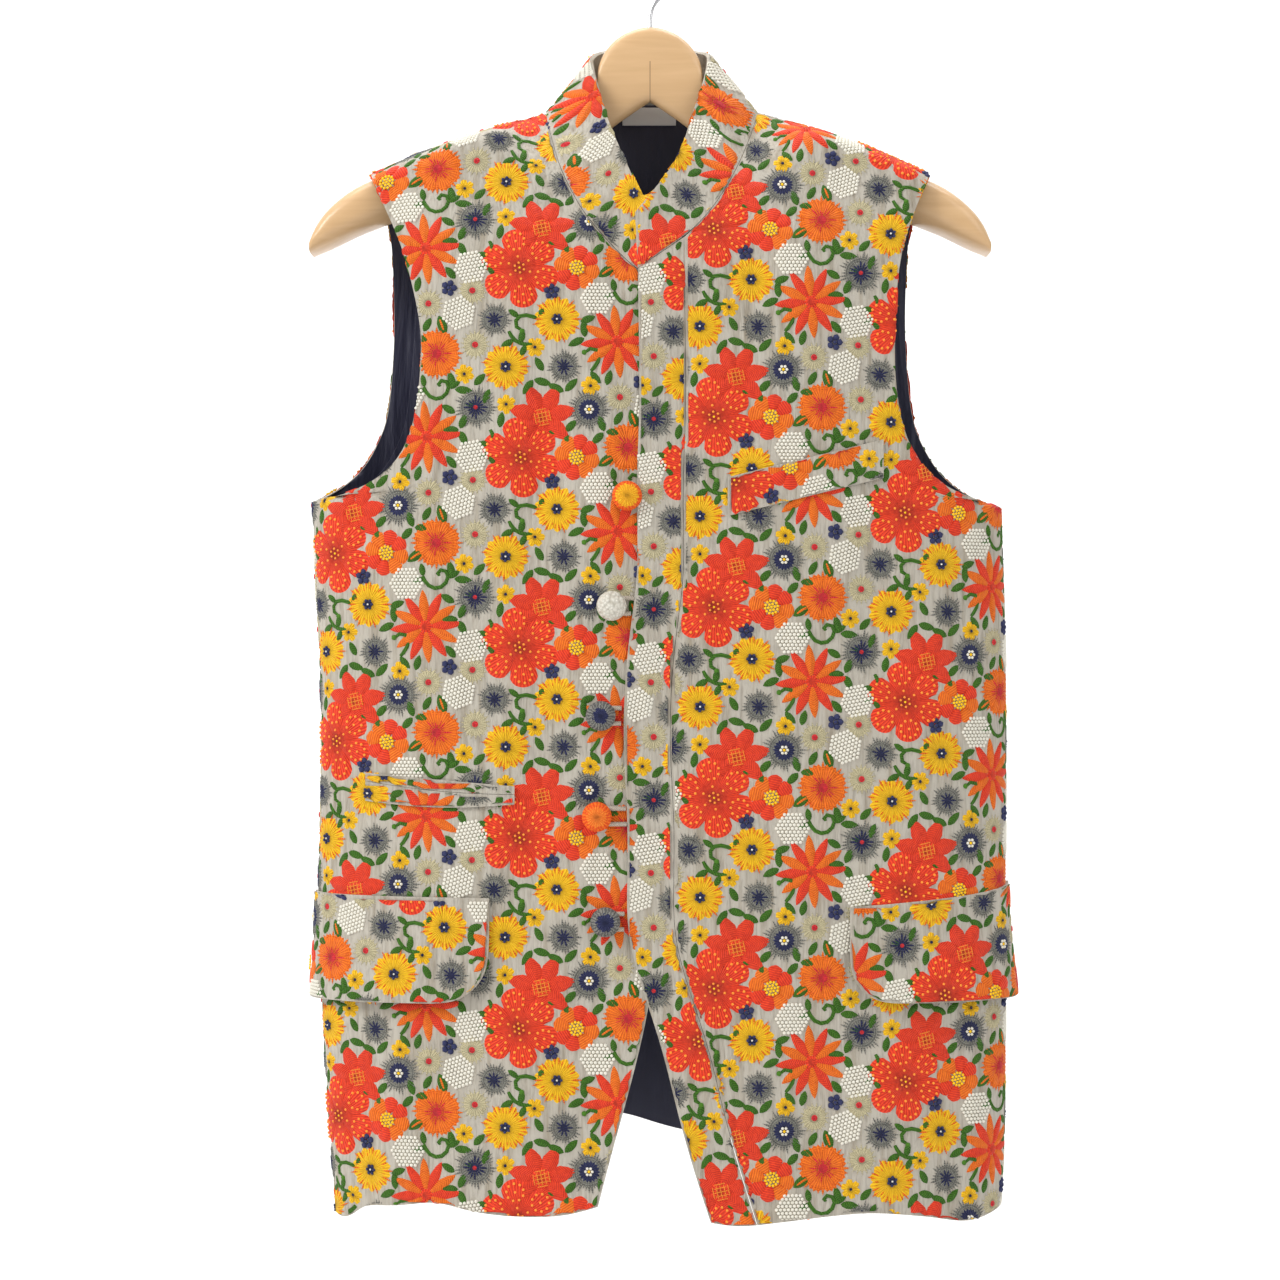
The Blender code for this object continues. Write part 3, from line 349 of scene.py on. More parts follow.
# %% Navy satin lining
def lining_finish():
    material, tree = new_finish("navy_satin", (0.016, 0.017, 0.045), 0.38, Sheen_Weight=0.2)
    place = object_position(tree)
    streaks_and_painted_sheen = use_group(tree, CRINKLE, Position=place, Across=60.0, Along=9.0)
    weave = use_group(tree, WEAVE, Position=place, Threads_per_metre=3000.0)
    # Painted sheen: the navy is coloured lighter along the streaks, as the satin's shine.
    colour = blend(tree, streaks_and_painted_sheen["Height"], (0.010, 0.011, 0.033), (0.026, 0.026, 0.062))
    normal = raise_surface(tree, streaks_and_painted_sheen["Height"], 0.004)
    return put_on(material, Base_Color=colour,
                  Normal=raise_surface(tree, weave["Height"], 0.00005, normal))


LINING = lining_finish()
print("cloths:", GROUND.name, LINING.name)

# %% [markdown]
# ## Cloth panels
# Each cut piece already has its true hung form in the frame, as a wall of cloth with few faces.
# A copy of its mesh is merged, its triangles are joined to four-sided faces again, and two
# rounds of subdivision give soft cloth. Creased rims keep the cut edges where they are.

# %% Copy a node's mesh as a smooth shell
MERGE = 1e-5
RIM_ANGLE = math.radians(38)
CLOTH_LEVELS = 2


def merged_copy(node_name):
    """A node's mesh as a bmesh with shared corners and mostly four-sided faces."""
    bm = bmesh.new()
    bm.from_mesh(NODES[node_name].data)
    bmesh.ops.remove_doubles(bm, verts=bm.verts[:], dist=MERGE)
    bmesh.ops.join_triangles(
        bm, faces=bm.faces[:], angle_face_threshold=RIM_ANGLE,
        angle_shape_threshold=math.radians(60))
    for face in bm.faces:
        face.smooth = True
    return bm


def crease_rims(bm):
    crease = bm.edges.layers.float.new("crease_edge")
    for edge in bm.edges:
        if edge.calc_face_angle(0.0) > RIM_ANGLE:
            edge[crease] = 1.0


def subdivided(piece, levels):
    """Applies a subdivision surface, so that the piece's own mesh is the fine one."""
    modifier = piece.modifiers.new("soft_cloth", "SUBSURF")
    modifier.levels = levels
    modifier.render_levels = levels
    graph = bpy.context.evaluated_depsgraph_get()
    fine = bpy.data.meshes.new_from_object(piece.evaluated_get(graph))
    piece.modifiers.clear()
    piece.data = fine
    return piece


# %% Which side of a wall is the lined one
BODY_AXIS_X = 0.008


def face_sheets(bm):
    """The wall's faces in groups that meet at soft edges: outer face, inner face and rims."""
    left = set(bm.faces)
    while left:
        sheet = {left.pop()}
        edge_of_sheet = list(sheet)
        while edge_of_sheet:
            face = edge_of_sheet.pop()
            for edge in face.edges:
                if edge.calc_face_angle(0.0) > RIM_ANGLE:
                    continue
                grown = [other for other in edge.link_faces if other in left]
                left.difference_update(grown)
                sheet.update(grown)
                edge_of_sheet.extend(grown)
        yield sheet


def line_inside(bm):
    """Gives the sheets of faces that look at the wearer the second material."""
    lined = 0
    for sheet in face_sheets(bm):
        facing_out = 0.0
        for face in sheet:
            centre = face.calc_center_median()
            away = Vector((centre.x - BODY_AXIS_X, centre.y, 0.0)).normalized()
            facing_out += face.calc_area() * face.normal.dot(away)
        if facing_out < -0.5 * sum(face.calc_area() for face in sheet):
            lined += len(sheet)
            for face in sheet:
                face.material_index = 1
    return lined


def smooth_shell(node_name, levels, *materials):
    """A node's wall as soft cloth. With a second material, its inner face is lined."""
    bm = merged_copy(node_name)
    crease_rims(bm)
    lined = line_inside(bm) if len(materials) > 1 else 0
    piece = subdivided(new_piece(f"{node_name}_piece", bm, *materials), levels)
    piece.data.set_sharp_from_angle(angle=RIM_ANGLE)
    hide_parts(node_name)
    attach(piece, "root")
    print(node_name, len(piece.data.polygons), "faces,", lined, "coarse faces lined")
    return piece


# %% Fronts, band and back, which are lined
PANELS = {}
for node_name in ("front_right", "front_left", "front_band", "back"):
    PANELS[node_name] = smooth_shell(node_name, CLOTH_LEVELS, GROUND, LINING)

# %% Collar, welt, jets and flaps, which are faced with their own cloth
for node_name in ("collar", "chest_welt", "ticket_jet_upper", "ticket_jet_lower",
                  "flap_right", "flap_left"):
    PANELS[node_name] = smooth_shell(node_name, CLOTH_LEVELS, GROUND)

# %% Lining of the back
back_lining = smooth_shell("back_lining", CLOTH_LEVELS, LINING)

# %% [markdown]
# ## A chart of each panel
# Embroidery is worked on flat cloth and then hangs with it. So every panel gets a chart: u runs
# round the body in metres of cloth and v is the height, which grows faster where the shoulders
# lean. Level rays from outside find the cloth on many heights, and their hits give the place and
# the outward direction for each u and v.

# %% Chart a panel with level rays
FRONT = -1
BACK = 1
ROW_STEP = 0.0022
COLUMN_STEP = 0.0025
RAYS = 400
RAY_START = 0.5
LEAST_FACING = 0.05
FIRST_ROW = 0.0008
LAST_ROW = 0.0004
HIT_REACH = 0.75 * COLUMN_STEP + 0.0006
SHOULDER_START_Z = -0.23
STEEPEST_LEAN = 0.22


def ring_lengths(ring, places):
    """How far round an oval ring each place lies, from the ring's front."""
    turns = np.linspace(-math.pi, math.pi, 721)
    oval = np.stack([ring[0] * np.sin(turns), ring[1] * np.cos(turns)], axis=1)
    lengths = np.concatenate([[0.0], np.cumsum(np.linalg.norm(np.diff(oval, axis=0), axis=1))])
    lengths -= 0.5 * lengths[-1]
    hits = np.arctan2(places[:, 0] / ring[0], -places[:, 1] / ring[1])
    return np.interp(hits, turns, lengths)


def chart_row(tree, facing, reach, widest, ring, height):
    """u, place and normal of each hit at one height, from left to right as seen from outside."""
    hits = []
    for step in range(RAYS + 1):
        turn = widest * (2.0 * step / RAYS - 1.0)
        sideways = -facing * math.sin(turn)
        out = Vector((sideways, facing * math.cos(turn), 0.0))
        foot = Vector((BODY_AXIS_X + reach * sideways, 0.0, height))
        place, normal, _, _ = tree.ray_cast(foot + out * RAY_START, -out)
        if place is not None and normal.dot(out) > LEAST_FACING and (place - foot).dot(out) > 0.0:
            hits.append((abs(turn), place, normal))
    if len(hits) < 2:
        return None
    middle = min(range(len(hits)), key=lambda index: hits[index][0])
    places = np.array([place for _, place, _ in hits])
    normals = np.array([normal for _, _, normal in hits])
    if ring is not None:
        along = ring_lengths(ring, places)
        order = np.argsort(along)
        return along[order], places[order], normals[order]
    steps = np.linalg.norm(np.diff(places, axis=0), axis=1)
    lengths = np.concatenate([[0.0], np.cumsum(steps)])
    return lengths - lengths[middle] - facing * places[middle, 0], places, normals


def climbed(heights, table):
    """How far up the cloth each place lies: where it leans, more cloth lies between two heights."""
    normals = table[:, :, 3:] / np.linalg.norm(table[:, :, 3:], axis=2)[:, :, None]
    lean = np.sqrt(np.maximum(1.0 - normals[1:, :, 2] ** 2, STEEPEST_LEAN ** 2))
    steps = np.diff(heights)[:, None] / np.where(heights[1:, None] > SHOULDER_START_Z, lean, 1.0)
    return heights[0] + np.concatenate([np.zeros((1, table.shape[1])), np.cumsum(steps, axis=0)])


def make_chart(piece, facing, reach=0.17, widest=math.radians(92), ring=None):
    """Tables of places and normals over u and v, and the panel's limits in both.

    A ring, given by its two half sizes, measures u round an oval, for a closed form.
    """
    tree = BVHTree.FromObject(piece, bpy.context.evaluated_depsgraph_get())
    low = min(vertex.co.z for vertex in piece.data.vertices)
    high = max(vertex.co.z for vertex in piece.data.vertices)
    heights, rows = [], []
    for height in np.arange(low + FIRST_ROW, high - LAST_ROW, ROW_STEP):
        row = chart_row(tree, facing, reach, widest, ring, height)
        if row is not None:
            heights.append(height)
            rows.append(row)
    left = min(row[0][0] for row in rows)
    right = max(row[0][-1] for row in rows)
    columns = np.arange(left, right + COLUMN_STEP, COLUMN_STEP)
    table = np.zeros((len(rows), len(columns), 6))
    covered = np.zeros((len(rows), len(columns)), bool)
    for index, (along, places, normals) in enumerate(rows):
        for axis in range(3):
            table[index, :, axis] = np.interp(columns, along, places[:, axis])
            table[index, :, axis + 3] = np.interp(columns, along, normals[:, axis])
        covered[index] = np.abs(columns[:, None] - along[None, :]).min(axis=1) < HIT_REACH
    climb = climbed(np.array(heights), table)
    even = np.arange(climb.min(), climb[covered].max() + ROW_STEP, ROW_STEP)
    ends = []
    for end in (0, -1):
        edge = np.array([row[0][end] for row in rows])
        nearest = np.clip(np.rint((edge - left) / COLUMN_STEP).astype(int), 0, len(columns) - 1)
        up_the_edge = np.maximum.accumulate(climb[np.arange(len(rows)), nearest])
        ends.append(np.interp(even, up_the_edge, edge))
    even_table = np.empty((len(even), len(columns), 6))
    for column in range(len(columns)):
        for part in range(6):
            even_table[:, column, part] = np.interp(even, climb[:, column], table[:, column, part])
    return {
        "heights": even, "columns": columns, "table": even_table, "first": ends[0], "last": ends[1],
        "bottom": np.where(covered, climb, climb.max()).min(axis=0),
        "top": np.where(covered, climb, climb.min()).max(axis=0),
    }


# %% From chart to cloth
def on_cloth(chart, flat):
    """Flat points (u, v, height above the cloth) as places on the hanging cloth."""
    heights, columns, table = chart["heights"], chart["columns"], chart["table"]
    row = np.interp(flat[:, 1], heights, np.arange(len(heights)))
    column = np.interp(flat[:, 0], columns, np.arange(len(columns)))
    row_low = np.minimum(row.astype(int), len(heights) - 2)
    column_low = np.minimum(column.astype(int), len(columns) - 2)
    up = (row - row_low)[:, None]
    over = (column - column_low)[:, None]
    lower = table[row_low, column_low] * (1 - over) + table[row_low, column_low + 1] * over
    upper = table[row_low + 1, column_low] * (1 - over) + table[row_low + 1, column_low + 1] * over
    found = lower * (1 - up) + upper * up
    normals = found[:, 3:] / np.linalg.norm(found[:, 3:], axis=1)[:, None]
    return found[:, :3] + normals * flat[:, 2:3]


EDGE_MARGIN = 0.0004


def pulled_in(chart, flat):
    """Points beyond the panel's edge moved on to it, and a mask of the points that were beyond."""
    u, v = flat[:, 0], flat[:, 1]
    first = np.interp(v, chart["heights"], chart["first"]) + EDGE_MARGIN
    last = np.interp(v, chart["heights"], chart["last"]) - EDGE_MARGIN
    bottom = np.interp(u, chart["columns"], chart["bottom"]) + EDGE_MARGIN
    top = np.interp(u, chart["columns"], chart["top"]) - EDGE_MARGIN
    u_move = np.minimum(np.maximum(u, first), np.maximum(last, first)) - u
    v_move = np.minimum(np.maximum(v, bottom), np.maximum(top, bottom)) - v
    sideways = (u_move != 0) & ((v_move == 0) | (np.abs(u_move) <= np.abs(v_move)))
    upright = (v_move != 0) & ~sideways
    moved = flat.copy()
    moved[:, 0] += np.where(sideways, u_move, 0.0)
    moved[:, 1] += np.where(upright, v_move, 0.0)
    return moved, sideways | upright


# %% Charts of every embroidered panel
COLLAR_REACH = 0.02
COLLAR_TURN = math.radians(178)
COLLAR_RING = (0.066, 0.046)
CHARTS = {}
for name, piece in PANELS.items():
    if name == "collar":
        CHARTS[name] = make_chart(piece, FRONT, COLLAR_REACH, COLLAR_TURN, COLLAR_RING)
    else:
        CHARTS[name] = make_chart(piece, BACK if name == "back" else FRONT)
    print(name, "chart of", *CHARTS[name]["table"].shape[:2], "rows and columns")

# %% [markdown]
# ## Stitches
# A motif is worked in thread. Satin stitch fills a petal or leaf from edge to edge, long and
# short stitches make the ragged discs of the daisies and cornflowers, and French knots are
# small beads. Each is a low mound on the flat chart, in millimetres, and a UV map counts the
# stitches, so that the thread lines can follow each petal in the finish.

# %% Satin stitch: one petal or leaf
MM = 0.001
SINK = -0.25
STITCHES = "stitches"
STITCH_PITCH = 1.5
# A place on the map where a stitch is at its highest and its painted light is brightest.
TOP_OF_STITCH = 0.25 * STITCH_PITCH


def count_stitches(bm, vertices, measure):
    """Writes how far along its row of stitches each corner lies, in millimetres."""
    stitches = bm.loops.layers.uv.get(STITCHES) or bm.loops.layers.uv.new(STITCHES)
    for face in {face for vertex in vertices for face in vertex.link_faces}:
        face.smooth = True
        middle = face.calc_center_median()
        for loop in face.loops:
            loop[stitches].uv = (measure(loop.vert.co, middle), 0.0)


def petal(bm, start, turn, length, width, height, lift=0.0, steps=8, across=4, widest=1.0,
          blunt=0.75, slant=0.0, ragged=0.05):
    """A mound from start along turn. Slant gives the stitches the V of a herringbone."""
    made = bmesh.ops.create_grid(bm, x_segments=steps, y_segments=across, size=0.5)["verts"]
    for vertex in made:
        part, side = vertex.co.x + 0.5, 2.0 * vertex.co.y
        half = 0.5 * width * math.sin(math.pi * part ** widest) ** blunt
        rim = abs(side) > 0.9 or part in (0.0, 1.0)
        if rim and round(part * steps) % 2:
            half *= 1.0 - ragged
        rise = math.sqrt(max(1.0 - side * side, 0.0)) * math.sin(math.pi * part) ** 0.35
        vertex.co = (part * length, side * half, SINK if rim else height * rise)
    count_stitches(bm, made, lambda co, _: co.x + slant * abs(co.y))
    turned = Matrix.Translation((*start, lift)) @ Matrix.Rotation(turn, 4, "Z")
    bmesh.ops.transform(bm, matrix=turned, verts=made)
    for vertex in made:
        vertex.tag = True


# %% Long and short stitches: a disc with petals, lobes or ragged rays
# The stitches of a disc are counted at this part of its radius.
FAN_RADIUS = 0.6


def polar(radius, turn):
    return radius * math.cos(turn), radius * math.sin(turn)


def disc(bm, radius, height, around=48, rings=4, lobes=0, notch=0.0, ragged=0.0, dish=0.0):
    """A round mound. The lobes are arcs of circles, cut in by notch, and dish lowers its heart."""
    spokes = [bm.verts.new((ring / rings, 0.0, 0.0)) for ring in range(rings + 1)]
    edges = [bm.edges.new(pair) for pair in zip(spokes, spokes[1:])]
    bmesh.ops.spin(
        bm, geom=spokes + edges, cent=(0, 0, 0), axis=(0, 0, 1), angle=math.tau,
        steps=around, use_merge=True)
    made = [vertex for vertex in bm.verts if not vertex.tag]
    bmesh.ops.remove_doubles(bm, verts=made, dist=1e-6)
    made = [vertex for vertex in bm.verts if not vertex.tag]
    for vertex in made:
        turn = math.atan2(vertex.co.y, vertex.co.x)
        part = math.hypot(vertex.co.x, vertex.co.y)
        reach = radius
        valley = 0.0
        if lobes:
            off = abs((turn * lobes / math.tau) % 1.0 - 0.5) * 2.0
            valley = off ** 3
            reach *= 1.0 - notch * (1.0 - math.sqrt(1.0 - off * off))
        if ragged and round(turn * around / math.tau) % 2:
            reach *= 1.0 - ragged * part
        rise = (1.0 - part ** 6) * (1.0 - 0.8 * valley * part) - dish * (1.0 - part) ** 2
        vertex.co = (*polar(part * reach, turn), SINK if part > 0.99 else height * rise)

    def fan(co, centre):
        own = math.atan2(centre.y, centre.x)
        off = (math.atan2(co.y, co.x) - own + math.pi) % math.tau - math.pi
        return (own + off) * FAN_RADIUS * radius

    count_stitches(bm, made, fan)
    for vertex in made:
        vertex.tag = True


def knot(bm, x, y, radius, height=0.0):
    """A French knot: a small squashed bead."""
    squashed = Matrix.Translation((x, y, height)) @ Matrix.Diagonal((1.0, 1.0, 0.75, 1.0))
    made = bmesh.ops.create_icosphere(bm, subdivisions=1, radius=radius, matrix=squashed)["verts"]
    buried = min(made, key=lambda vertex: vertex.co.z)
    made.remove(buried)
    bmesh.ops.delete(bm, geom=[buried], context="VERTS")
    count_stitches(bm, made, lambda co, _: TOP_OF_STITCH)
    for vertex in made:
        vertex.tag = True


def knot_ring(bm, count, ring_radius, radius, height, middle=(0.0, 0.0), start=0.0):
    for index in range(count):
        turn = start + math.tau * index / count
        x, y = polar(ring_radius, turn)
        knot(bm, middle[0] + x, middle[1] + y, radius, height)


def rays(bm, count, start, reach, width, height, lift=0.0, uneven=0.0, across=2, **shape):
    """Thin stitches or petals that stand round a heart."""
    for index in range(count):
        turn = math.tau * index / count
        long = reach * (1.0 - uneven * ((index * 3) % 4) / 3.0)
        petal(bm, polar(start, turn), turn, long - start, width, height, lift, across=across,
              **shape)


print("stitches: satin petal, ragged disc, French knot")

# %% [markdown]
# ## Motifs
# Twenty small motifs, worked flat and each thread in its own mesh: a lobed blossom with dotted
# petals, a pointed flower, a star, a carnation, daisies, an anemone, cornflowers, knotted
# hexagons, and small flowers and sprigs that fill the gaps.

# %% A workbox: one bmesh for each thread of a motif
THREADS = {
    # thread: colour where its stitches are lit, painted shade colour between its stitches
    "red": ((0.98, 0.075, 0.024), (0.56, 0.022, 0.014)),
    "scarlet": ((0.88, 0.042, 0.050), (0.52, 0.020, 0.030)),
    "orange": ((1.00, 0.225, 0.018), (0.66, 0.085, 0.010)),
    "amber": ((1.00, 0.330, 0.045), (0.85, 0.200, 0.025)),
    "yellow": ((1.00, 0.610, 0.016), (0.74, 0.340, 0.008)),
    "green": ((0.064, 0.190, 0.014), (0.022, 0.078, 0.008)),
    "navy": ((0.034, 0.040, 0.110), (0.008, 0.010, 0.034)),
    "grey": ((0.290, 0.285, 0.245), (0.085, 0.086, 0.080)),
    "cream": ((0.83, 0.800, 0.700), (0.56, 0.520, 0.420)),
    "beige": ((0.64, 0.570, 0.355), (0.42, 0.370, 0.225)),
}
MOTIFS = {}


def work_motif(radius, work):
    """Runs work(threads), where threads(colour) is the bmesh of one thread, and keeps the meshes.

    The work is in millimetres and its meshes are kept in metres.
    """
    name = work.__name__
    box = {}

    def threads(colour):
        if colour not in box:
            box[colour] = bmesh.new()
        return box[colour]

    work(threads)
    meshes = {}
    for colour, bm in box.items():
        bmesh.ops.scale(bm, vec=(MM, MM, MM), verts=bm.verts[:])
        meshes[colour] = bpy.data.meshes.new(f"{name}_{colour}")
        bm.to_mesh(meshes[colour])
        bm.free()
    MOTIFS[name] = {"radius": radius * MM, "meshes": meshes}
    print(name, {colour: len(mesh.polygons) for colour, mesh in meshes.items()})


# %% Large motifs
def lobed_blossom(threads):
    disc(threads("red"), 27, 1.6, around=72, rings=6, lobes=6, notch=0.36, dish=0.25)
    for lobe in range(6):
        turn = math.tau * (lobe + 0.5) / 6
        centre = polar(17.6, turn)
        knot_ring(threads("amber"), 9, 5.6, 1.05, 1.4, centre, turn)
        knot(threads("amber"), *centre, 1.0, 1.45)
        knot(threads("amber"), *(0.42 * part for part in centre), 1.0, 1.25)
    knot_ring(threads("amber"), 6, 3.2, 0.95, 1.15, start=math.tau / 12)
    knot(threads("yellow"), 0.0, 0.0, 0.9, 1.0)


def pointed_flower(threads):
    rays(threads("red"), 7, 4, 23, 12.5, 1.1, across=4, slant=0.8, widest=0.75, blunt=0.8)
    disc(threads("red"), 8, 1.1, around=20, rings=3)
    for line in range(-2, 3):
        for turn in (0.0, math.pi / 2.0):
            half = math.sqrt(49.0 - (2.5 * line) ** 2)
            start = Matrix.Rotation(turn, 2) @ Vector((-half, 2.5 * line))
            petal(threads("amber"), start, turn, 2 * half, 1.2, 1.5, steps=5, blunt=0.3)


def star(threads):
    for colour, first in (("red", 0), ("orange", 1)):
        for index in range(first, 12, 2):
            turn = math.tau * index / 12
            petal(threads(colour), polar(2.5, turn), turn, 22, 7.6, 1.1, slant=0.7, widest=0.85)
    disc(threads("red"), 4.5, 1.25, around=16, rings=2)


def carnation(threads):
    disc(threads("orange"), 17, 1.0, around=64, rings=4, lobes=8, notch=0.12, ragged=0.08)
    rays(threads("orange"), 32, 9, 17.6, 1.9, 0.5, lift=0.5, uneven=0.12, steps=3)
    rays(threads("scarlet"), 22, 2, 10.5, 1.7, 0.5, lift=0.8, uneven=0.4, steps=3)
    disc(threads("scarlet"), 5.5, 1.35, around=24, rings=2, ragged=0.2)


def daisy(threads):
    disc(threads("yellow"), 16, 1.0, around=56, rings=4, lobes=14, notch=0.10, ragged=0.05)
    rays(threads("orange"), 30, 8.2, 16.8, 1.3, 0.5, lift=0.6, uneven=0.3, steps=3)
    disc(threads("navy"), 4.8, 1.4, around=20, rings=2, ragged=0.16)
    knot_ring(threads("navy"), 6, 2.7, 1.1, 1.35)
    knot(threads("cream"), 0.0, 0.0, 0.75, 1.5)


# %% Middle-sized motifs
def anemone(threads):
    for index in range(8):
        turn = math.tau * (index + 0.5) / 8
        colour = "red" if index % 4 < 2 else "orange"
        petal(threads(colour), polar(3, turn), turn, 12.6, 11.5, 1.0, widest=1.7, blunt=0.5,
              ragged=0.12)
    for ring, count in ((0.0, 1), (2.1, 6), (4.1, 12)):
        knot_ring(threads("yellow"), count, ring, 1.05, 1.35)


def fringed_disc(threads, radius, lobes):
    """The grey ground of the cornflowers: a disc with loose ends of thread round its rim."""
    disc(threads("grey"), 0.84 * radius, 0.8, around=3 * lobes, rings=2, ragged=0.1)
    rays(threads("grey"), 3 * lobes, 0.35 * radius, radius + 1.0, 1.5, 0.6, lift=0.35,
         uneven=0.22, steps=3, widest=0.8)


def cornflower(threads):
    fringed_disc(threads, 14.2, 12)
    rays(threads("navy"), 16, 1.5, 8.8, 1.7, 0.6, lift=0.9, uneven=0.3, steps=3)
    disc(threads("navy"), 4.6, 1.4, around=18, rings=2, ragged=0.15)
    disc(threads("scarlet"), 2.4, 1.7, around=12, rings=2)


def knotted_cornflower(threads):
    fringed_disc(threads, 14.2, 12)
    disc(threads("navy"), 9.2, 1.2, around=36, rings=3, ragged=0.2)
    knot_ring(threads("cream"), 6, 2.2, 1.1, 1.5)
    knot(threads("yellow"), 0.0, 0.0, 1.1, 1.5)


def grey_flower(threads):
    fringed_disc(threads, 11.2, 10)
    rays(threads("navy"), 10, 1.0, 6.4, 1.9, 0.6, lift=0.8, uneven=0.2, steps=3)
    disc(threads("navy"), 3.8, 1.4, around=16, rings=2, ragged=0.15)


def knotted_hexagon(threads):
    spacing = 2.6
    for row in range(-4, 5):
        for column in range(9 - abs(row)):
            x = (column - 0.5 * (8 - abs(row))) * spacing
            knot(threads("cream"), x, row * spacing * 0.866, 1.3, 0.4)


def beige_flower(threads):
    disc(threads("beige"), 9.6, 0.55, around=44, rings=3, lobes=9, notch=0.12, ragged=0.14)
    rays(threads("beige"), 18, 3.5, 10.4, 1.1, 0.35, lift=0.35, steps=3)
    disc(threads("scarlet"), 2.7, 1.3, around=14, rings=2)


# %% Small flowers and green sprigs
def yellow_flower(threads):
    disc(threads("yellow"), 7.2, 0.9, around=30, rings=3, lobes=6, notch=0.28, ragged=0.06)
    disc(threads("navy"), 1.7, 1.2, around=10, rings=2)


def navy_flower(threads):
    knot_ring(threads("navy"), 5, 3.3, 2.4, 0.0)
    knot(threads("navy"), 0.0, 0.0, 1.4, 1.0)


def leaf(threads, x, y, turn, length=12.5, width=6.0):
    petal(threads("green"), (x, y), math.radians(turn), length, width, 0.95,
          steps=6, slant=0.7, widest=0.9)


def stem(threads, points, width=3.0):
    """A corded stem: satin stitches laid side by side along a curve."""
    line = np.array(points, float)
    ahead = np.gradient(line, axis=0)
    sideways = np.stack([-ahead[:, 1], ahead[:, 0]], axis=1)
    sideways /= np.linalg.norm(ahead, axis=1)[:, None]
    bm = threads("green")
    made = bmesh.ops.create_grid(bm, x_segments=len(line) - 1, y_segments=4, size=0.5)["verts"]
    for vertex in made:
        index = round((vertex.co.x + 0.5) * (len(line) - 1))
        side = 2.0 * vertex.co.y
        x, y = line[index] + 0.5 * width * side * sideways[index]
        rim = abs(side) > 0.9 or index in (0, len(line) - 1)
        vertex.co = (x, y, SINK if rim else 0.9 * math.sqrt(1.0 - side * side))
        vertex.tag = True
    count_stitches(bm, made, lambda co, _: 0.7 * (co.x + co.y))


def single_leaf(threads):
    leaf(threads, -5.5, 0.0, 0, 11.0, 5.8)


def pair_of_leaves(threads):
    leaf(threads, 0.0, -1.0, 35)
    leaf(threads, 0.0, -1.0, 145)


def three_leaves(threads):
    leaf(threads, 0.0, 0.0, 90, 12)
    leaf(threads, -0.5, 0.0, 205, 11)
    leaf(threads, 0.5, 0.0, -25, 11)


def striped_leaf(threads):
    leaf(threads, -6.5, 0.0, 0, 14, 7.6)
    petal(threads("orange"), (-4.5, 0.0), 0.0, 10, 2.2, 0.6, lift=0.6, steps=5)


def branch(threads):
    stem(threads, [(-11, -4), (-8.5, -1.6), (-5, 0.2), (-1, 0.8), (3, 0.2), (6.5, -1.8), (9.5, -5)])
    leaf(threads, -5, 0.2, 80, 9.5, 5)
    leaf(threads, -1, 0.8, -80, 9.5, 5.4)
    leaf(threads, 3.5, 0.2, 45, 10, 5.2)


def scroll(threads):
    stem(threads, [(-10, 4), (-8.8, 0), (-6, -3.4), (-2, -5), (2, -4.3), (5.2, -1.4), (6.6, 2.4),
                   (5.2, 6), (1.8, 6.8), (-0.2, 4.4), (1.2, 2.4)])
    leaf(threads, -9.6, 2.6, 100, 9, 5)
    leaf(threads, -9.2, 1.4, 200, 8.5, 4.8)
    leaf(threads, 6.4, 1.6, 30, 9.5, 4.8)


def hooked_sprig(threads):
    stem(threads, [(-8.5, -3.6), (-9.4, 0.2), (-7.2, 3.6), (-3.2, 4.2), (0.4, 2.0), (3.2, -1.8),
                   (4.6, -5.4)])
    knot(threads("green"), -8.4, -4.2, 2.0, 0.0)
    leaf(threads, -4.0, 4.0, 105, 9, 4.6)
    leaf(threads, 4.4, -5.0, 22, 11, 5.2)


for radius, work in (
    (27, lobed_blossom), (23, pointed_flower), (25, star), (17, carnation), (17, daisy),
    (16, anemone), (15.5, cornflower), (15.5, knotted_cornflower), (12.5, grey_flower),
    (12, knotted_hexagon), (10.5, beige_flower), (7.5, yellow_flower), (6, navy_flower),
    (6, single_leaf), (13, pair_of_leaves), (13, three_leaves), (8, striped_leaf), (16, branch),
    (19, scroll), (16, hooked_sprig),
):
    work_motif(radius, work)

# %% [markdown]
# ## The repeat
# The motifs are charted on one cell of cloth. The next column of cells hangs half a cell lower,
# as on many printed cloths, so that no straight rows of one flower form. Each panel was cut from
# its own place on the cloth, so it starts at its own point of the repeat.

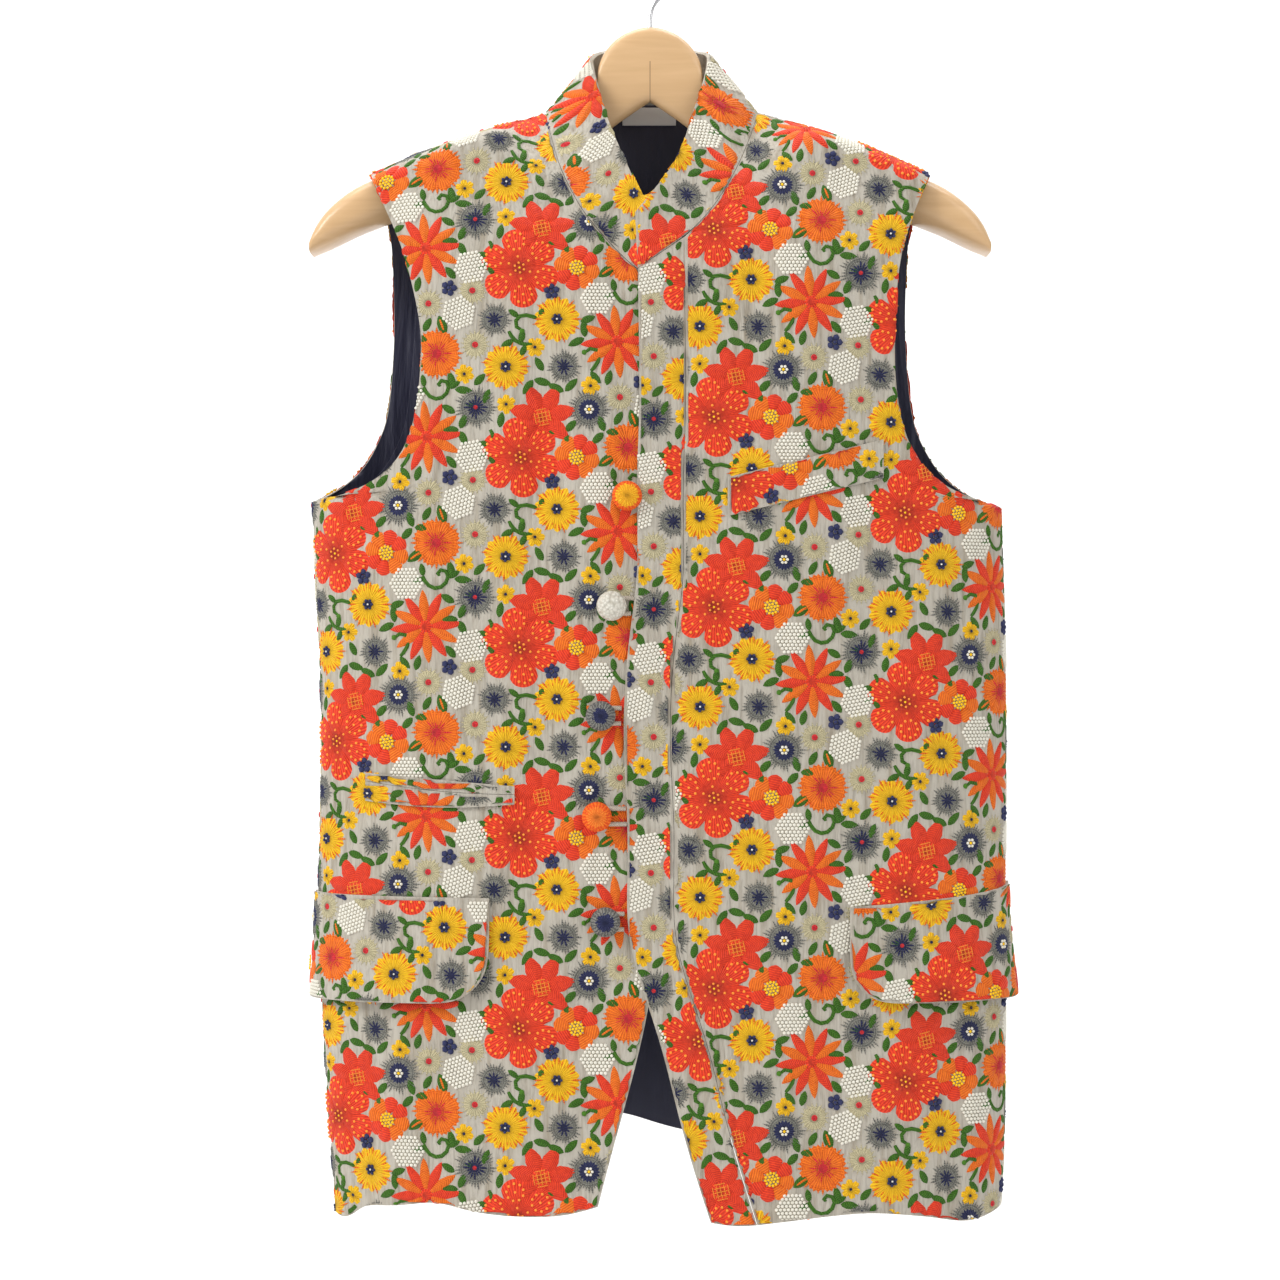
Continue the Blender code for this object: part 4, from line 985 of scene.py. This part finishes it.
# %% One cell of the repeat
PACKING = 0.905
CELL_WIDTH = 138 * PACKING * MM
CELL_HEIGHT = 136 * PACKING * MM
CELL = (
    # motif, x and y of its middle in mm, turn in degrees
    ("pointed_flower", 46, 119, 12), ("lobed_blossom", 30, 90, 8), ("star", 100, 37, 5),
    ("carnation", 108, 97, 0), ("daisy", 57, 53, 0), ("daisy", 20, 19, 25),
    ("anemone", 71, 90, 10), ("cornflower", 136, 58, 0), ("knotted_cornflower", 80, 124, 0),
    ("grey_flower", 62, 19, 0), ("grey_flower", 12, 53, 20), ("knotted_hexagon", 133, 23, 10),
    ("knotted_hexagon", 86, 68, 0), ("knotted_hexagon", 124, 126, 20),
    ("beige_flower", 102, 133, 0), ("beige_flower", 136, 103, 12), ("beige_flower", -4, 74, 30),
    ("yellow_flower", 20, 128, 0), ("yellow_flower", 81, 5, 15), ("yellow_flower", 41, 33, 30),
    ("yellow_flower", 128, 82, 10), ("navy_flower", 117, 8, 0), ("navy_flower", 53, 73, 20),
    ("scroll", 109, 70, 0), ("hooked_sprig", 36, 54, 40), ("three_leaves", 91, 108, 20),
    ("three_leaves", 62, 108, 200), ("branch", 8, 98, 250), ("pair_of_leaves", 62, 138, 10),
    ("pair_of_leaves", 40, 9, 200), ("hooked_sprig", 84, 22, 290), ("three_leaves", 124, 42, 90),
    ("striped_leaf", 112, 117, 110), ("pair_of_leaves", 76, 40, 60),
    ("pair_of_leaves", 121, 72, 320), ("branch", 30, 37, 160),
    ("pair_of_leaves", 2, 128, 30), ("striped_leaf", 93, 88, 215),
    ("single_leaf", 94, 11, 75), ("single_leaf", 79, 53, 20), ("single_leaf", 44, 21, 120),
    ("single_leaf", 101, 118, 60), ("single_leaf", 116, 57, 150), ("single_leaf", 1, 10, 45),
    ("single_leaf", 16, 117, 80), ("single_leaf", 118, 19, 130),
)

# %% Where each panel was cut from
CUTS = {
    # panel: shift of the repeat in mm, turn of the cut in degrees
    "front_right": (-112, -62, 0),
    "front_left": (14, -36, 0),
    "front_band": (4, -70, 0),
    "back": (30, -20, 0),
    "collar": (-30, 52, 0),
    "chest_welt": (62, -18, 14),
    "flap_right": (-60, -25, 0),
    "flap_left": (40, 20, 0),
    "ticket_jet_lower": (-112, -62, 0),
    "ticket_jet_upper": (-100, -50, 0),
}


CELL_COLUMNS = range(-3, 4)
CELL_ROWS = range(-8, 3)


def places_on(chart, cut):
    """Each motif that touches one panel, with its matrix on the panel's chart."""
    shift_x, shift_y, cut_turn = cut
    turned = Matrix.Rotation(math.radians(cut_turn), 4, "Z")
    left, right = chart["columns"][0], chart["columns"][-1]
    low, high = chart["heights"][0], chart["heights"][-1]
    for column, row in itertools.product(CELL_COLUMNS, CELL_ROWS):
        cell_x = shift_x * MM + column * CELL_WIDTH
        cell_y = shift_y * MM + (row - 0.5 * (column % 2)) * CELL_HEIGHT
        for motif, x, y, turn in CELL:
            at = turned @ Vector((cell_x + PACKING * x * MM, cell_y + PACKING * y * MM, 0.0))
            reach = MOTIFS[motif]["radius"]
            if left - reach < at.x < right + reach and low - reach < at.y < high + reach:
                own_turn = Matrix.Rotation(math.radians(turn), 4, "Z")
                yield motif, Matrix.Translation(at) @ turned @ own_turn


def cut_to_panel(mesh, chart):
    """Deletes the faces beyond the panel's edge and pulls the cut ones back to it."""
    flat = np.empty(len(mesh.vertices) * 3)
    mesh.vertices.foreach_get("co", flat)
    moved, beyond = pulled_in(chart, flat.reshape(-1, 3))
    if not beyond.any():
        return True
    if beyond.all():
        return False
    mesh.vertices.foreach_set("co", moved.ravel())
    bm = bmesh.new()
    bm.from_mesh(mesh)
    dead = [face for face in bm.faces if all(beyond[vertex.index] for vertex in face.verts)]
    bmesh.ops.delete(bm, geom=dead, context="FACES")
    bm.to_mesh(mesh)
    bm.free()
    return True


# %% Embroider the panels
GARMENT_PARTS = {
    # joined threads: the panels that they are worked on
    "front": ("front_right", "front_left", "front_band", "collar"),
    "trim": ("chest_welt", "flap_right", "flap_left", "ticket_jet_lower", "ticket_jet_upper"),
    "back": ("back",),
}


def embroider(panel, threads):
    """Adds one panel's motifs, laid on its cloth, to the bmesh of each thread."""
    chart = CHARTS[panel]
    laid = {}
    for motif, matrix in places_on(chart, CUTS[panel]):
        for colour, pattern in MOTIFS[motif]["meshes"].items():
            copy = pattern.copy()
            copy.transform(matrix)
            if cut_to_panel(copy, chart):
                laid.setdefault(colour, bmesh.new()).from_mesh(copy)
            bpy.data.meshes.remove(copy)
    for colour, bm in laid.items():
        joined = bpy.data.meshes.new("laid")
        bm.to_mesh(joined)
        bm.free()
        flat = np.empty(len(joined.vertices) * 3)
        joined.vertices.foreach_get("co", flat)
        joined.vertices.foreach_set("co", on_cloth(chart, flat.reshape(-1, 3)).ravel())
        threads.setdefault(colour, bmesh.new()).from_mesh(joined)
        bpy.data.meshes.remove(joined)


# %% Thread finish: lines of stitches from the UV map, painted lit and shaded, and a soft silk shine
def build_stitch_lines():
    group, entry, leave = new_group(
        "stitch_lines",
        (("Along", "NodeSocketFloat", 0.0), ("Position", "NodeSocketVector", None)),
        ("Height", "Shade and tone"))
    turn = number(group, "MULTIPLY", entry["Along"], math.tau / STITCH_PITCH)
    wave = number(group, "MULTIPLY", number(group, "SINE", turn), 0.5)
    feed(group, leave["Height"], number(group, "ADD", wave, 0.5))
    uneven = add_noise(group, entry["Position"], 420.0)
    # Painted light on the crown of each stitch and painted shade between stitches, with a random
    # unevenness of the thread.
    tone = number(group, "ADD", number(group, "MULTIPLY", wave, 0.7), uneven)
    feed(group, leave["Shade and tone"], number(group, "ADD", tone, 0.12))
    return group


STITCH_LINES = build_stitch_lines()


def thread_finish(name, light, dark):
    material, tree = new_finish(
        f"{name}_thread", light, 0.62, Sheen_Weight=0.05, Specular_IOR_Level=0.2)
    place = object_position(tree)
    counted = add_node(tree, "ShaderNodeUVMap", uv_map=STITCHES).outputs[0]
    lines = use_group(tree, STITCH_LINES, Along=parts_of(tree, counted)["X"], Position=place)
    # The dark tone between the stitches is painted shade, and the light tone is painted light.
    return put_on(material, Base_Color=blend(tree, lines["Shade and tone"], dark, light),
                  Normal=raise_surface(tree, lines["Height"], 0.0005, soft_folds(tree, place)))


THREAD_FINISHES = {name: thread_finish(name, *tones) for name, tones in THREADS.items()}

# %% Work all threads and join them by colour
for part_name, panels in GARMENT_PARTS.items():
    threads = {}
    for panel in panels:
        embroider(panel, threads)
    for colour, bm in threads.items():
        piece = new_piece(f"{part_name}_thread_{colour}", bm, THREAD_FINISHES[colour])
        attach(piece, "root")
        triangles = sum(len(face.vertices) - 2 for face in piece.data.polygons)
        print(piece.name, triangles, "triangles")

# %% [markdown]
# ## Buttons, loops, label and hanger
# The buttons are covered with stitched cloth: two in flame colours, two in grey and navy and
# one with rows of cream knots. Their loops are cords of the ground cloth. The hanger is
# varnished wood with a fine grain and a glued joint down its middle, and its hook is steel.


# %% The covered round group: a heart of other stitches, and stitches that run outwards
RAGGED_EDGE = 0.005
STITCHES_AROUND = 24.0
STITCHES_ASTRAY = 11.0


def build_covered_round():
    group, entry, leave = new_group(
        "covered_round",
        (("Position", "NodeSocketVector", None), ("Middle", "NodeSocketVector", None),
         ("Heart", "NodeSocketFloat", 0.006)),
        ("Heart mask", "Stitches"))
    from_middle = vector(group, "SUBTRACT", entry["Position"], entry["Middle"])
    flat = vector(group, "MULTIPLY", from_middle, (1.0, 0.0, 1.0))
    radius = math_node(group, "LENGTH", flat, kind="ShaderNodeVectorMath")["Value"]
    uneven = add_noise(group, entry["Position"], 700.0)
    edge = number(group, "ADD", radius, number(group, "MULTIPLY", uneven, RAGGED_EDGE))
    feed(group, leave["Heart mask"], number(group, "LESS_THAN", edge, entry["Heart"]))
    place = parts_of(group, flat)
    turn = number(group, "MULTIPLY", number(group, "ARCTAN2", place["Z"], place["X"]),
                  STITCHES_AROUND)
    turn = number(group, "ADD", turn, number(group, "MULTIPLY", uneven, STITCHES_ASTRAY))
    wave = number(group, "MULTIPLY", number(group, "SINE", turn), 0.5)
    feed(group, leave["Stitches"], number(group, "ADD", wave, 0.5))
    return group


COVERED_ROUND = build_covered_round()
print("covered round group with", len(COVERED_ROUND.nodes), "nodes")


# %% Two finishes for covered buttons
def stitched_button(name, middle, rim, heart, heart_radius):
    """Rim and heart are each a painted shade tone between the stitches and a lit tone on them."""
    material, tree = new_finish(f"{name}_cover", rim[1], 0.7, Specular_IOR_Level=0.2)
    cover = use_group(tree, COVERED_ROUND, Position=object_position(tree), Middle=middle,
                      Heart=heart_radius)
    tones = [blend(tree, cover["Stitches"], *pair) for pair in (rim, heart)]
    return put_on(material, Base_Color=blend(tree, cover["Heart mask"], *tones),
                  Normal=raise_surface(tree, cover["Stitches"], 0.0004))


def knotted_button(name, dark, light):
    material, tree = new_finish(f"{name}_cover", light, 0.75, Specular_IOR_Level=0.2)
    knots = add_node(tree, "ShaderNodeTexVoronoi")
    feed(tree, knots.inputs["Scale"], 430.0)
    feed(tree, knots.inputs["Vector"], object_position(tree))
    height = number(tree, "SUBTRACT", 1.0, knots.outputs["Distance"])
    # Painted shade: the knots are coloured darker between them and lighter on their tops.
    return put_on(material, Base_Color=blend(tree, height, dark, light),
                  Normal=raise_surface(tree, height, 0.0012))


# %% Cord, label, wood and steel finishes
TWIST_RATE = 4200.0
JOINT_HALF_WIDTH = 0.00035
JOINT_TOP_Z = -0.084
GRAIN_STRETCH = (10.0, 120.0, 170.0)


def cord_finish():
    material, tree = new_finish("loop_cord_cloth", (0.60, 0.53, 0.44), 0.8)
    place = parts_of(tree, object_position(tree))
    slant = number(tree, "ADD", place["X"], place["Z"])
    twist = number(tree, "SINE", number(tree, "MULTIPLY", slant, TWIST_RATE))
    # Painted shade: the twist is coloured darker in its grooves and lighter on its ridges.
    return put_on(material, Base_Color=blend(tree, twist, (0.50, 0.42, 0.33), (0.66, 0.59, 0.50)),
                  Normal=raise_surface(tree, twist, 0.0002))


def label_finish():
    material, tree = new_finish("woven_label", (0.93, 0.93, 0.92), 0.6)
    weave = use_group(tree, WEAVE, Position=object_position(tree), Threads_per_metre=2200.0)
    # Painted shade: the weave is coloured darker between its threads.
    colour = blend(tree, weave["Height"], (0.86, 0.86, 0.85), (0.97, 0.97, 0.96))
    return put_on(material, Base_Color=colour, Normal=raise_surface(tree, weave["Height"], 0.0001))


def wood_finish():
    material, tree = new_finish(
        "varnished_wood_grain", (0.62, 0.39, 0.19), 0.42, Coat_Weight=0.35, Coat_Roughness=0.12)
    place = object_position(tree)
    grain = add_noise(tree, vector(tree, "MULTIPLY", place, GRAIN_STRETCH), 1.0, 5.0, 0.8)
    wood = blend(tree, grain, (0.56, 0.335, 0.150), (0.76, 0.500, 0.262))
    place = parts_of(tree, place)
    near = number(tree, "LESS_THAN", number(tree, "ABSOLUTE", place["X"]), JOINT_HALF_WIDTH)
    joint = number(tree, "MULTIPLY", near, number(tree, "LESS_THAN", place["Z"], JOINT_TOP_Z))
    return put_on(material, Base_Color=blend(tree, joint, wood, (0.36, 0.21, 0.10)),
                  Normal=raise_surface(tree, grain, 0.0001))


def steel_finish():
    material, tree = new_finish("plated_steel", (0.62, 0.62, 0.63), 0.22, Metallic=1.0)
    rough = add_node(tree, "ShaderNodeMapRange")
    rubbed = add_noise(tree, object_position(tree), 260.0)
    for name, source in (("To Min", 0.16), ("To Max", 0.34), ("Value", rubbed)):
        feed(tree, rough.inputs[name], source)
    return put_on(material, Roughness=rough.outputs[0])


# %% Covered buttons
# Each pair of thread tones is a painted shade tone between the stitches and a lit tone on them.
FLAME = ((0.80, 0.065, 0.015), (1.00, 0.200, 0.020))
AMBER = ((0.85, 0.300, 0.010), (1.00, 0.560, 0.025))
SMOKE = ((0.085, 0.086, 0.085), (0.270, 0.265, 0.240))
NAVY = ((0.010, 0.012, 0.040), (0.045, 0.052, 0.140))
EMBER = ((0.90, 0.140, 0.015), (1.00, 0.300, 0.040))
CREAM = ((0.46, 0.42, 0.34), (0.84, 0.81, 0.72))
BUTTONS = (
    # node, slot, middle seen from the front, rim tones, heart tones, radius of the heart
    ("button_1", "button_orange", (-0.0150, 0.0, -0.3750), FLAME, AMBER, 0.0100),
    ("button_3", "button_navy", (-0.0320, 0.0, -0.5170), SMOKE, NAVY, 0.0075),
    ("button_4", "button_red", (-0.0345, 0.0, -0.5820), FLAME, EMBER, 0.0090),
    ("button_5", "button_grey", (-0.0290, 0.0, -0.6500), SMOKE, NAVY, 0.0080),
)
for node_name, slot_name, middle, rim, heart, heart_radius in BUTTONS:
    cover = stitched_button(node_name, middle, rim, heart, heart_radius)
    smooth_shell(node_name, 2, cover)
smooth_shell("button_2", 2, knotted_button("button_2", *CREAM))

# %% Loops, label, hanger and hook
CORD = cord_finish()
for loop in range(1, 6):
    smooth_shell(f"loop_{loop}", 1, CORD)
neck_label = smooth_shell("neck_label", 2, label_finish())
smooth_shell("hanger", 1, wood_finish())
smooth_shell("hanger_hook", 1, steel_finish())
